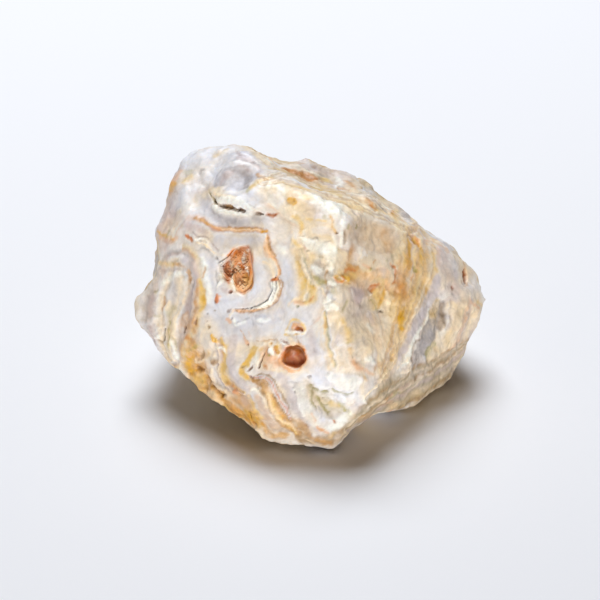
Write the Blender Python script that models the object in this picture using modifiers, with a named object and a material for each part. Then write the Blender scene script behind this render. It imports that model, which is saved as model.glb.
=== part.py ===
"""A rough piece of banded agate, about 70 mm across: one solid stone broken on every side.

The stone is a block bounded by fracture faces. Curved flakes have sprung off it, hollows and a crack
open in its banded face, and it rests on a small flat spot. The upper hollow is lined by a crust of small
quartz crystals.

Run: blender --background --python part.py
"""

import math
import random

import bmesh
import bpy
from mathutils import Euler, Matrix, Vector, noise
from mathutils.bvhtree import BVHTree

MM = 0.001

# Places on the stone are measured in the frame of its banded face, which leans back from upright: along
# the face to the right, up the face, and out of it, in millimetres.
FACE_LEAN = math.radians(32)
CORNERS = {
    "left point": [(-33.4, -2.8, 1.0), (-32.6, -5.6, 0.0), (-29.8, 0.2, -1.0), (-29.0, -4.0, -9.0)],
    "left shoulder": [(-29.4, 15.6, 1.0), (-28.6, 18.0, 1.0), (-27.6, 15.0, -8.0)],
    "top left": [(-25.8, 22.6, 1.0), (-23.9, 28.8, -1.0), (-21.9, 30.5, -2.0), (-17.0, 31.0, 1.0)],
    "top": [(-7.2, 31.4, 0.0), (-12.0, 30.8, 3.0), (0.2, 28.2, -1.0), (6.6, 25.2, -3.0)],
    "top right": [(12.6, 25.3, -5.0), (16.2, 23.2, -7.0), (20.2, 20.3, -8.0), (24.6, 16.5, -9.0)],
    "right shoulder": [(29.2, 12.6, -10.0), (31.6, 11.2, -10.0), (33.8, 8.2, -9.0), (36.8, 4.6, -8.0)],
    "right point": [(38.4, 0.0, -7.0), (37.7, -2.4, -7.0), (35.2, -7.9, -9.0)],
    "right foot": [(33.4, -12.6, -9.0), (32.8, -14.4, -10.0), (30.0, -17.8, -8.0), (23.4, -18.2, -7.0)],
    "front foot": [(6.9, -29.5, 11.2), (2.0, -29.2, 12.0), (-5.0, -28.6, 10.8), (-9.6, -25.4, 10.0)],
    "left foot": [(-18.0, -18.9, 8.0), (-23.5, -15.2, 4.0), (-28.0, -11.4, 0.0)],
    "banded face": [(-21.0, 12.0, 12.0), (-19.0, -6.0, 14.0), (-9.0, -18.0, 18.0), (0.0, 21.0, 18.5)],
    "front ridge": [(8.0, 16.2, 21.5), (6.6, 4.6, 24.5), (9.0, -9.8, 24.0), (12.6, -18.6, 19.0),
                    (6.4, -25.4, 15.5)],
    "top ledge": [(-9.4, 21.4, 16.0), (-4.0, 22.0, 18.0), (15.0, 15.0, 17.5), (21.4, 12.6, 11.0),
                  (26.0, 10.4, 5.5)],
    "right face": [(26.0, 5.6, 4.5), (22.4, -4.0, 10.0), (19.2, -10.2, 13.5), (32.4, 2.0, 0.4),
                   (27.4, -12.2, 0.4)],
    "back": [(-22.0, 20.0, -18.0), (-27.0, 4.0, -20.0), (-17.0, -1.0, -28.0), (-4.0, 20.0, -24.0)],
    "back right": [(2.0, 6.0, -31.0), (16.0, 12.0, -25.0), (28.0, 3.0, -23.0), (12.0, 0.4, -31.0)],
    "sole": [(-8.0, -18.1, -9.0), (-7.0, -12.3, -18.3), (9.0, -10.7, -20.8), (17.0, -16.5, -11.5),
             (8.0, -25.0, 2.0)],
}
# The flat spot that the stone rests on lies this far below the middle of the banded face.
SOLE_DEPTH = 19.7

# A flake leaves a shallow dish. Each has a place that it is struck at, the way it faces, the radius of
# its curve and how deep it bites.
FLAKES = {
    "left notch": ((-34.0, 8.2, 1.0), (-1.0, 0.14, 0.0), 9.0, 3.6),
    "left hollow": ((-27.0, 19.0, 5.0), (-0.9, 0.3, 0.5), 16.0, 1.0),
    "top notch": ((-3.8, 29.0, 0.0), (0.15, 1.0, 0.1), 9.0, 2.4),
    "grey scallop": ((-13.4, 25.4, 12.0), (-0.15, 0.5, 0.85), 7.0, 0.9),
    "upper dish": ((-20.0, 25.0, 8.0), (-0.4, 0.5, 0.75), 12.0, 0.8),
    "top dish": ((6.0, 24.6, 8.0), (0.2, 0.95, 0.25), 24.0, 1.5),
    "far top dish": ((20.0, 19.0, 0.0), (0.4, 0.9, 0.1), 16.0, 1.2),
    "right notch": ((27.2, 14.6, -7.0), (0.5, 0.86, 0.0), 12.0, 1.3),
    "quartz face": ((14.6, 11.0, 16.0), (0.5, 0.35, 0.8), 14.0, 0.9),
    "end dish": ((27.0, -3.0, 6.0), (0.75, -0.1, 0.66), 17.0, 1.5),
    "foot notch": ((34.4, -10.8, -8.0), (0.95, -0.2, 0.1), 6.0, 0.5),
    "front dish": ((17.0, -3.0, 17.5), (0.6, 0.1, 0.8), 22.0, 1.1),
    "under notch": ((13.0, -26.4, 4.0), (0.5, -0.87, 0.0), 18.0, 1.9),
    "left low dish": ((-22.0, -13.0, 8.0), (-0.6, -0.55, 0.6), 14.0, 1.0),
    "back dish": ((-6.0, 8.0, -28.0), (-0.3, 0.2, -0.93), 26.0, 2.8),
    "back flake": ((14.0, 14.0, -27.0), (0.3, 0.4, -0.86), 18.0, 2.2),
    "back left flake": ((-24.0, 12.0, -16.0), (-0.8, 0.2, -0.6), 14.0, 1.8),
    "back low flake": ((6.0, -8.0, -28.0), (0.1, -0.5, -0.86), 16.0, 1.8),
    "back end flake": ((30.0, 2.0, -20.0), (0.8, 0.1, -0.6), 13.0, 1.5),
}

FLAKE_FINENESS = 4

# The block is remeshed on this grid, its edges are softened in so many rounds, and rough relief is laid on
# it: lumps with smaller lumps on them, and chips. Then it is thinned out to so many triangles.
GRID = 0.75
SOFTENING, SOFT_SHARE = 3, 0.5
LUMP_SIZE, LUMP_HEIGHT, LUMP_LAYERS = 9.0, 0.8, 3
CHIP_SIZE, CHIP_DEPTH = 4.2, 0.55
STONE_TRIANGLES = 7600

# Along each ledge the face on the line's left stands this much higher than the face on its right.
LEDGES = {
    "basin rim": (-0.75, [(-18.3, 15.1), (-17.0, 13.9), (-9.7, 13.5), (-5.8, 13.3), (-6.2, 8.7),
                          (-3.9, 3.9), (-3.7, 1.0), (-5.4, -1.4), (-8.1, -2.3), (-13.5, -2.1)]),
    "left block": (0.8, [(-28.2, 7.5), (-24.6, 7.5), (-22.1, 6.3), (-21.5, 3.0), (-22.1, -1.0),
                         (-23.2, -6.9), (-23.2, -13.4)]),
    "lower bands": (0.7, [(-14.5, -10.6), (-14.3, -14.5), (-12.9, -16.8), (-8.5, -17.6), (-6.2, -21.6),
                           (-5.2, -25.7)]),
    "upper lip": (0.7, [(-21.4, 21.4), (-17.1, 19.8), (-11.1, 16.9), (-4.9, 16.3)]),
}
LEDGE_WIDTH, LEDGE_REACH = 0.7, 4.5
# A swell is a rise or a sag of the face: its place along and up the face, its radius and its height.
SWELLS = {
    "left crust": [(-20.5, -8.8, 2.2, 0.7), (-18.5, -13.3, 2.0, 0.8), (-15.2, -18.1, 2.2, 0.7),
                   (-11.1, -21.8, 1.8, 0.6), (-22.6, -12.0, 1.6, 0.5), (-17.0, -16.0, 1.3, -0.6)],
    "chalky block": [(3.4, -20.1, 4.0, 0.8), (8.2, -17.0, 2.6, 0.6), (0.6, -22.4, 1.6, -0.5)],
    "upper boss": [(3.4, 16.2, 3.4, 0.9), (-1.8, 19.4, 2.2, 0.6), (0.8, 13.4, 1.6, -0.5)],
    "rough white": [(5.7, 7.3, 2.4, 0.6), (2.2, 9.8, 1.6, -0.5), (4.0, 2.4, 1.8, 0.5),
                    (7.6, -2.6, 2.0, 0.5)],
    "hollow's rim": [(-1.1, -10.9, 4.2, 0.5), (-0.6, -5.6, 1.8, 0.4)],
    "upper left": [(-11.8, 24.0, 2.6, -0.7), (-21.7, 19.7, 3.0, 0.6), (-24.6, 13.0, 2.4, 0.5)],
}

# A hollow is a bowl under an outline, given along and up the face. Its mouth flares a little, and it is
# this deep below the surface at its middle.
HOLLOWS = {
    "upper hollow": (4.4, [(-10.7, 10.5), (-9.6, 10.2), (-9.3, 8.4), (-9.0, 5.2), (-9.3, 2.4),
                           (-10.6, 1.1), (-12.3, 1.6), (-13.2, 3.6), (-14.2, 4.0), (-15.4, 5.3),
                           (-15.8, 6.9), (-13.9, 8.2), (-12.3, 10.1)]),
    "lower hollow": (3.4, [(-2.2, -9.0), (-0.9, -8.8), (0.2, -9.2), (0.8, -10.3), (1.3, -11.4),
                           (0.8, -12.4), (-0.7, -13.1), (-2.0, -12.7), (-3.2, -12.4), (-3.6, -11.4),
                           (-3.0, -10.1)]),
    "small hollow": (1.3, [(-0.9, -5.1), (0.0, -4.9), (0.5, -5.6), (0.2, -6.1), (-0.8, -6.0)]),
    "ridge pit": (1.1, [(21.8, 12.5), (22.5, 12.4), (23.7, 11.2), (23.9, 10.3), (22.9, 10.6),
                        (22.1, 11.6)]),
    "end slit": (1.6, [(32.7, 6.5), (33.5, 6.3), (33.8, 4.0), (33.3, 2.2), (32.6, 3.4)]),
    "left pit": (1.1, [(-27.6, -6.3), (-26.6, -6.6), (-26.7, -8.0), (-27.6, -7.9)]),
    "crack": (1.5, [(-17.2, 20.2), (-16.4, 18.9), (-14.8, 18.5), (-12.3, 17.5), (-11.1, 17.2),
                    (-11.3, 16.7), (-12.7, 16.8), (-15.4, 17.7), (-16.8, 18.3)]),
    "crack end": (0.9, [(-8.9, 17.0), (-8.1, 17.2), (-7.3, 16.7), (-7.6, 16.3), (-8.5, 16.4)]),
}
BOWL_STEPS = 4
MOUTH_FLARE, MOUTH_RISE = 1.12, 2.0

# The crystals' crust lines the upper hollow, with this gap to the stone, and its rim stays this far below
# the mouth. Each crystal stands up to CRYSTAL_STRAY of the way from the middle of a wall to its corner.
CRUSTED = "upper hollow"
CRUST_GAP, CRUST_THICKNESS, CRUST_SINK = 0.35, 0.7, 0.5
CRYSTALS, CRYSTAL_SIDES, CRYSTAL_WIDTH, CRYSTAL_LENGTH = 34, 6, (0.35, 0.65), (0.8, 1.5)
CRYSTAL_LEAN, CRYSTAL_STRAY = 0.45, 0.9
SEED = 4

# Farther than any two points of the stone are apart.
FAR = 100

# Colour, roughness.
STONE_LOOK = ((0.70, 0.66, 0.60), 0.45)
CRUST_LOOK = ((0.53, 0.22, 0.09), 0.35)


def from_face(across, up, out):
    """The point this far along, up and out of the banded face, in the upright frame and in metres."""
    return Matrix.Rotation(-FACE_LEAN, 3, "X") @ Vector((across, -out, up)) * MM


def to_face(point):
    """The place of a point of the upright frame along, up and out of the banded face, in millimetres."""
    place = Matrix.Rotation(FACE_LEAN, 3, "X") @ point / MM
    return place.x, place.z, -place.y


def clear_scene():
    for obj in list(bpy.data.objects):
        bpy.data.objects.remove(obj)


def collection(name):
    made = bpy.data.collections.new(name)
    bpy.context.scene.collection.children.link(made)
    return made


def object_of(name, bm, home):
    bmesh.ops.recalc_face_normals(bm, faces=bm.faces)
    mesh = bpy.data.meshes.new(name)
    bm.to_mesh(mesh)
    bm.free()
    obj = bpy.data.objects.new(name, mesh)
    home.objects.link(obj)
    return obj


def guide(obj):
    """Marks a shape that only cuts others."""
    obj.hide_render = True
    obj.display_type = "WIRE"
    return obj


def combine(obj, other, operation):
    step = obj.modifiers.new(other.name, "BOOLEAN")
    step.operation = operation
    step.object = other


def apply_modifiers(obj):
    graph = bpy.context.evaluated_depsgraph_get()
    mesh = bpy.data.meshes.new_from_object(obj.evaluated_get(graph))
    obj.modifiers.clear()
    obj.data = mesh


def surface_under(obj, place, facing):
    """The point of the surface that lies below this place, looking against the way it faces."""
    bm = bmesh.new()
    bm.from_mesh(obj.data)
    tree = BVHTree.FromBMesh(bm)
    bm.free()
    outward = from_face(*facing).normalized()
    return tree.ray_cast(from_face(*place) + outward * FAR * MM, -outward)[0]


def fracture_block(home):
    """The stone before its flakes came off: the convex block through all its corners."""
    bm = bmesh.new()
    for corners in CORNERS.values():
        for corner in corners:
            bm.verts.new(from_face(*corner))
    hull = bmesh.ops.convex_hull(bm, input=bm.verts)
    inside = [part for part in hull["geom_interior"] if isinstance(part, bmesh.types.BMVert)]
    bmesh.ops.delete(bm, geom=inside, context="VERTS")
    return object_of("agate", bm, home)


def strike_flakes(stone, home):
    """Bites a dish out of the block for each flake, with a ball whose lowest point is the dish's."""
    for name, (place, facing, radius, depth) in FLAKES.items():
        outward = from_face(*facing).normalized()
        bottom = surface_under(stone, place, facing) - outward * depth * MM
        bm = bmesh.new()
        bmesh.ops.create_icosphere(bm, subdivisions=FLAKE_FINENESS, radius=radius * MM)
        bmesh.ops.translate(bm, verts=bm.verts, vec=bottom + outward * radius * MM)
        combine(stone, guide(object_of(name, bm, home)), "DIFFERENCE")
    apply_modifiers(stone)


def soften(stone):
    """Turns the block into an even grid of small faces and takes the sharpness off its edges."""
    grid = stone.modifiers.new("grid", "REMESH")
    grid.mode = "VOXEL"
    grid.voxel_size = GRID * MM
    soft = stone.modifiers.new("soft edges", "SMOOTH")
    soft.factor = SOFT_SHARE
    soft.iterations = SOFTENING
    apply_modifiers(stone)


def relief(place):
    """How far the surface stands proud at this place, in metres: lumps, and chips with sharp rims."""
    lump = noise.fractal(place / (LUMP_SIZE * MM), 1.0, 2.0, LUMP_LAYERS)
    near, far = noise.voronoi(place / (CHIP_SIZE * MM))[0][:2]
    return (LUMP_HEIGHT * lump - CHIP_DEPTH * (far - near)) * MM


def side_of_line(spot, line):
    """How far the spot is from the line, counted positive on the line's left."""
    best = None
    for start, end in zip(line, line[1:]):
        start, along = Vector(start), Vector(end) - Vector(start)
        share = max(0.0, min(1.0, (spot - start).dot(along) / along.length_squared))
        gap = spot - start - along * share
        side = math.copysign(gap.length, along.x * gap.y - along.y * gap.x)
        if best is None or abs(side) < abs(best):
            best = side
    return best


def face_form(spot):
    """How far the face's ledges and swells stand proud at this place along and up it, in metres."""
    height = 0.0
    for step, line in LEDGES.values():
        side = side_of_line(spot, line)
        height += step * math.tanh(side / LEDGE_WIDTH) * math.exp(-((side / LEDGE_REACH) ** 2)) / 2
    for swells in SWELLS.values():
        for across, up, radius, rise in swells:
            height += rise * math.exp(-(((spot - Vector((across, up))).length / radius) ** 2))
    return height * MM


def roughen(stone):
    outward = from_face(0.0, 0.0, 1.0).normalized()
    normals = [vertex.normal.copy() for vertex in stone.data.vertices]
    for vertex, normal in zip(stone.data.vertices, normals):
        place = vertex.co.copy()
        vertex.co += normal * relief(place)
        facing = normal.dot(outward)
        if facing > 0:
            across, up, _ = to_face(place)
            vertex.co += normal * face_form(Vector((across, up))) * facing


def thin_out(stone):
    """Leaves fewer, larger faces where the stone is smooth."""
    stone.data.calc_loop_triangles()
    thin = stone.modifiers.new("thin out", "DECIMATE")
    thin.ratio = STONE_TRIANGLES / len(stone.data.loop_triangles)
    apply_modifiers(stone)


def shave(obj, point, normal, home):
    """Cuts away what lies beyond the plane through point, with a block that stands on that plane."""
    size = FAR * MM
    bm = bmesh.new()
    bmesh.ops.create_cube(bm, size=size)
    lean = normal.to_track_quat("Z", "Y").to_matrix().to_4x4()
    bmesh.ops.transform(bm, matrix=Matrix.Translation(point + normal * size / 2) @ lean, verts=bm.verts)
    combine(obj, guide(object_of("beyond the " + obj.name, bm, home)), "DIFFERENCE")
    apply_modifiers(obj)


def bowl(name, inset, home, surface):
    """The named hollow, narrowed all round by inset, from above the surface down to a rounded bottom."""
    depth, outline = HOLLOWS[name]
    middle = middle_of(outline)
    radius = sum((Vector(spot) - middle).length for spot in outline) / len(outline)
    narrow = 1 - inset / radius
    rings = [(MOUTH_FLARE * narrow, MOUTH_RISE)]
    for step in range(BOWL_STEPS):
        turn = math.pi / 2 * step / BOWL_STEPS
        rings.append((narrow * math.cos(turn), -(depth - inset) * math.sin(turn)))
    bm = bmesh.new()
    loops = []
    for scale, height in rings:
        spots = [middle + (Vector(spot) - middle) * scale for spot in outline]
        loops.append([bm.verts.new(from_face(spot.x, spot.y, surface + height)) for spot in spots])
    bottom = bm.verts.new(from_face(middle.x, middle.y, surface - depth + inset))
    for upper, lower in zip(loops, loops[1:]):
        for at, after in around(outline):
            bm.faces.new((upper[at], upper[after], lower[after], lower[at]))
    for at, after in around(outline):
        bm.faces.new((loops[-1][at], loops[-1][after], bottom))
    bm.faces.new(loops[0])
    return object_of(name, bm, home)


def around(outline):
    """Each corner's number with the next one's."""
    return [(at, (at + 1) % len(outline)) for at in range(len(outline))]


def middle_of(outline):
    return sum((Vector(spot) for spot in outline), Vector((0.0, 0.0))) / len(outline)


def surface_height(stone, name):
    """How far out of the banded face the stone's surface lies at the middle of a hollow's outline."""
    middle = middle_of(HOLLOWS[name][1])
    return to_face(surface_under(stone, (middle.x, middle.y, 0.0), (0.0, 0.0, 1.0)))[2]


def open_hollows(stone, heights, home):
    for name, height in heights.items():
        combine(stone, guide(bowl(name, 0.0, home, height)), "DIFFERENCE")
    apply_modifiers(stone)


def crystal(name, root, outward, home):
    """A six-sided pyramid that stands on the crust at root."""
    length = random.uniform(*CRYSTAL_LENGTH)
    width = random.uniform(*CRYSTAL_WIDTH)
    bm = bmesh.new()
    bmesh.ops.create_cone(bm, cap_ends=True, segments=CRYSTAL_SIDES, radius1=width * MM, radius2=0.0,
                          depth=length * MM)
    turn = Euler((0.0, 0.0, random.uniform(0.0, math.pi))).to_matrix().to_4x4()
    lean = outward.to_track_quat("Z", "Y").to_matrix().to_4x4()
    stand = Matrix.Translation((0.0, 0.0, length * MM / 2 - CRUST_GAP * MM))
    bmesh.ops.transform(bm, matrix=Matrix.Translation(root) @ lean @ stand @ turn, verts=bm.verts)
    return guide(object_of(name, bm, home))


def crystal_crust(height, home, guides):
    """The crust: the upper hollow's bowl, with a smaller bowl cut out of it all round the crystals."""
    random.seed(SEED)
    crust = bowl(CRUSTED, CRUST_GAP, home, height)
    crust.name = "druse"
    room = guide(bowl(CRUSTED, CRUST_GAP + CRUST_THICKNESS, guides, height))
    room.name = "room inside the druse"
    walls = [face for face in room.data.polygons
             if len(face.vertices) <= 4 and to_face(face.center)[2] < height]
    for number in range(CRYSTALS):
        wall = random.choice(walls)
        corner = room.data.vertices[random.choice(wall.vertices)].co
        root = wall.center.lerp(corner, random.uniform(0.0, CRYSTAL_STRAY))
        lean = Vector([random.uniform(-CRYSTAL_LEAN, CRYSTAL_LEAN) for _ in range(3)])
        outward = (lean - wall.normal).normalized()
        combine(room, crystal(f"crystal {number}", root, outward, guides), "DIFFERENCE")
    apply_modifiers(room)
    keep_largest(room)
    combine(crust, room, "DIFFERENCE")
    apply_modifiers(crust)
    shave(crust, from_face(0.0, 0.0, height - CRUST_SINK), from_face(0.0, 0.0, 1.0).normalized(), guides)
    return crust


def keep_largest(obj):
    """Leaves only the body with the most corners."""
    bm = bmesh.new()
    bm.from_mesh(obj.data)
    left = set(bm.verts)
    bodies = []
    while left:
        body, edge = set(), [left.pop()]
        while edge:
            corner = edge.pop()
            body.add(corner)
            nearby = {link.other_vert(corner) for link in corner.link_edges} & left
            left -= nearby
            edge += nearby
        bodies.append(body)
    bodies.sort(key=len)
    for body in bodies[:-1]:
        bmesh.ops.delete(bm, geom=list(body), context="VERTS")
    bm.to_mesh(obj.data)
    bm.free()


def give_material(obj, colour, roughness):
    material = bpy.data.materials.new(obj.name)
    material.use_nodes = True
    surface = material.node_tree.nodes["Principled BSDF"]
    surface.inputs["Base Color"].default_value = (*colour, 1.0)
    surface.inputs["Roughness"].default_value = roughness
    obj.data.materials.append(material)


def stand_on_origin(stone, others):
    """Hangs everything on an empty, which moves the middle of the stone's base to the origin."""
    low = [min(vertex.co[axis] for vertex in stone.data.vertices) for axis in range(3)]
    high = [max(vertex.co[axis] for vertex in stone.data.vertices) for axis in range(3)]
    middle = bpy.data.objects.new("middle of the banded face", None)
    bpy.context.scene.collection.objects.link(middle)
    middle.location = (-(low[0] + high[0]) / 2, -(low[1] + high[1]) / 2, -low[2])
    for obj in [stone, *others]:
        obj.parent = middle


def main():
    clear_scene()
    parts = collection("rough banded agate")
    guides = collection("cutters")
    stone = fracture_block(parts)
    strike_flakes(stone, guides)
    soften(stone)
    roughen(stone)
    thin_out(stone)
    shave(stone, Vector((0.0, 0.0, -SOLE_DEPTH * MM)), Vector((0.0, 0.0, -1.0)), guides)
    heights = {name: surface_height(stone, name) for name in HOLLOWS}
    open_hollows(stone, heights, guides)
    crust = crystal_crust(heights[CRUSTED], parts, guides)
    give_material(stone, *STONE_LOOK)
    give_material(crust, *CRUST_LOOK)
    stand_on_origin(stone, [crust, *guides.objects])


main()
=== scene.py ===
"""The looks of the rough banded agate: a fine stone mesh and its crystal crust, painted and carved in code.

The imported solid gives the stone's form. It is remeshed finely, its facets are smoothed away, and marks are
laid on it: bands, ledges, cracks, pits and crusts. Each mark has a tone and a rise, so that what is painted
as a crack or a ledge is also carved. What the marks leave bare carries the stone's own banding and rind.
"""

import math
import random

import bmesh
import bpy
import numpy as np
from mathutils import Matrix, Vector, noise
from mathutils.bvhtree import BVHTree


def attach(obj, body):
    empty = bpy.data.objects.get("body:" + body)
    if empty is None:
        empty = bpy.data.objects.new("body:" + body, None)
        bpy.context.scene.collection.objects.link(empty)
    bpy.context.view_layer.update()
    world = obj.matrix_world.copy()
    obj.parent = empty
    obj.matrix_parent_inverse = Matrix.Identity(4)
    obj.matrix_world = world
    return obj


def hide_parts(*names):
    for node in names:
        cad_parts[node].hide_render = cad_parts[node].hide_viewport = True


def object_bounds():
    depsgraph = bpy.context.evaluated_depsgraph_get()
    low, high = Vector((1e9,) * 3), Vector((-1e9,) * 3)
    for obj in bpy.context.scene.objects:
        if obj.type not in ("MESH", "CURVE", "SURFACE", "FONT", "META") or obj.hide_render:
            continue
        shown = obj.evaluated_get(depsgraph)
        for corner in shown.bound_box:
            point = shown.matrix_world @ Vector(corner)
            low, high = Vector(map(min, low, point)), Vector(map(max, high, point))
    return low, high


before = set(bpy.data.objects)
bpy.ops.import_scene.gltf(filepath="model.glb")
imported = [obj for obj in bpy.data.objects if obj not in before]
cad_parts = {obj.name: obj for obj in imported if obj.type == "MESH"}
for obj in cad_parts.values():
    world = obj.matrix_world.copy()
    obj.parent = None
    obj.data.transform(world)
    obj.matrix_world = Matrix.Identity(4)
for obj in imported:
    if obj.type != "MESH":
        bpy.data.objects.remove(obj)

CAD_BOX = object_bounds()
MM = 0.001

# The camera looks square at the banded face, which leans back. The marks are placed by pixels of its
# picture, across and down from the top left corner.
VIEW_ELEVATION = math.radians(32)
VIEW_DISTANCE = 0.400
LENS, SENSOR = 120.0, 36.0
PICTURE = 600
FACE_MIDDLE = Vector((-0.0024, -0.0020, 0.0197))
RIGHT = Vector((1.0, 0.0, 0.0))
UP = Vector((0.0, math.sin(VIEW_ELEVATION), math.cos(VIEW_ELEVATION)))
OUT = Vector((0.0, -math.cos(VIEW_ELEVATION), math.sin(VIEW_ELEVATION)))
CAMERA_PLACE = FACE_MIDDLE + OUT * VIEW_DISTANCE

# Corners of a solid closer than this, in millimetres, are one.
SAME_PLACE = 0.001
# The stone's mesh: its grid in millimetres, and how many cuts divide each edge that turns to the camera by
# more than a share.
GRID = 0.88
FRONT_CUTS, FINE_FROM = 2, 0.14
# Its facets are smoothed away in so many rounds. Each draws a corner this far towards its neighbours.
SMOOTH_ROUNDS, SMOOTH_PULL = 36, 0.5
# The back gives way by a share of that, which rises to the whole of it where the stone turns to the camera.
BACK_FREEDOM = 0.3
FRONT_FROM, FRONT_TO = 0.0, 0.15
# Places in the picture, with a radius, where a hollow opens. So much of the smoothing is held back there,
# and less from this share of the radius outwards.
HOLLOWS_SEEN = [(236, 268, 30), (294, 358, 22), (298, 328, 10), (416, 240, 10),
                (465, 276, 12), (163, 336, 9), (228, 207, 14), (258, 213, 8)]
HOLLOW_HOLD, HOLLOW_EDGE = 0.85, 0.75
# How far behind the face's middle a hollow's floor may lie, and over what depth that fades, in millimetres.
HOLLOW_DEPTH, HOLLOW_FADE = 14.0, 3.0
SEED = 7

# How much stronger the stone's colours are than its tones, as its milky depth pales them, and their range.
RICHNESS = 1.7
DARKEST, LIGHTEST = 0.004, 0.9
# How much each of red, green and blue adds to a colour's lightness.
LIGHTNESS = np.array([0.2126, 0.7152, 0.0722])
# Tones: the colour, the roughness, and how coarse the surface is.
TONES = {
    "milk": ("#E5E3E1", 0.44, 0.10),
    "pearl": ("#E3E3E5", 0.46, 0.05),
    "snow": ("#F6F3EC", 0.54, 0.30),
    "mist": ("#CDCBCC", 0.50, 0.05),
    "peach": ("#D9BBA1", 0.36, 0.25),
    "ember": ("#BE8A66", 0.34, 0.45),
    "lilac": ("#CCC5C3", 0.44, 0.05),
    "slate": ("#A7A2A0", 0.56, 0.35),
    "mauve": ("#BDB0AC", 0.44, 0.15),
    "cream": ("#EBDECA", 0.48, 0.22),
    "chalk": ("#B4AFA5", 0.55, 0.60),
    "sand": ("#D0C4B5", 0.50, 0.22),
    "quartz": ("#CABBAA", 0.24, 0.06),
    "honey": ("#DCC69D", 0.38, 0.15),
    "gold": ("#CBA972", 0.42, 0.30),
    "ochre": ("#BE9742", 0.50, 0.60),
    "salmon": ("#D2B29A", 0.38, 0.15),
    "tan": ("#BB9B7C", 0.40, 0.25),
    "rust": ("#B47A58", 0.38, 0.45),
    "brick": ("#885A45", 0.44, 0.45),
    "rose": ("#B48473", 0.50, 0.30),
    "umber": ("#6A4C2E", 0.50, 0.50),
    "pit": ("#453219", 0.60, 0.40),
    "olive": ("#A29A72", 0.50, 0.50),
    "bark": ("#9C8770", 0.60, 0.50),
    "rind": ("#C7B69C", 0.58, 0.45),
    "drab": ("#A79D8C", 0.50, 0.15),
}

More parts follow.
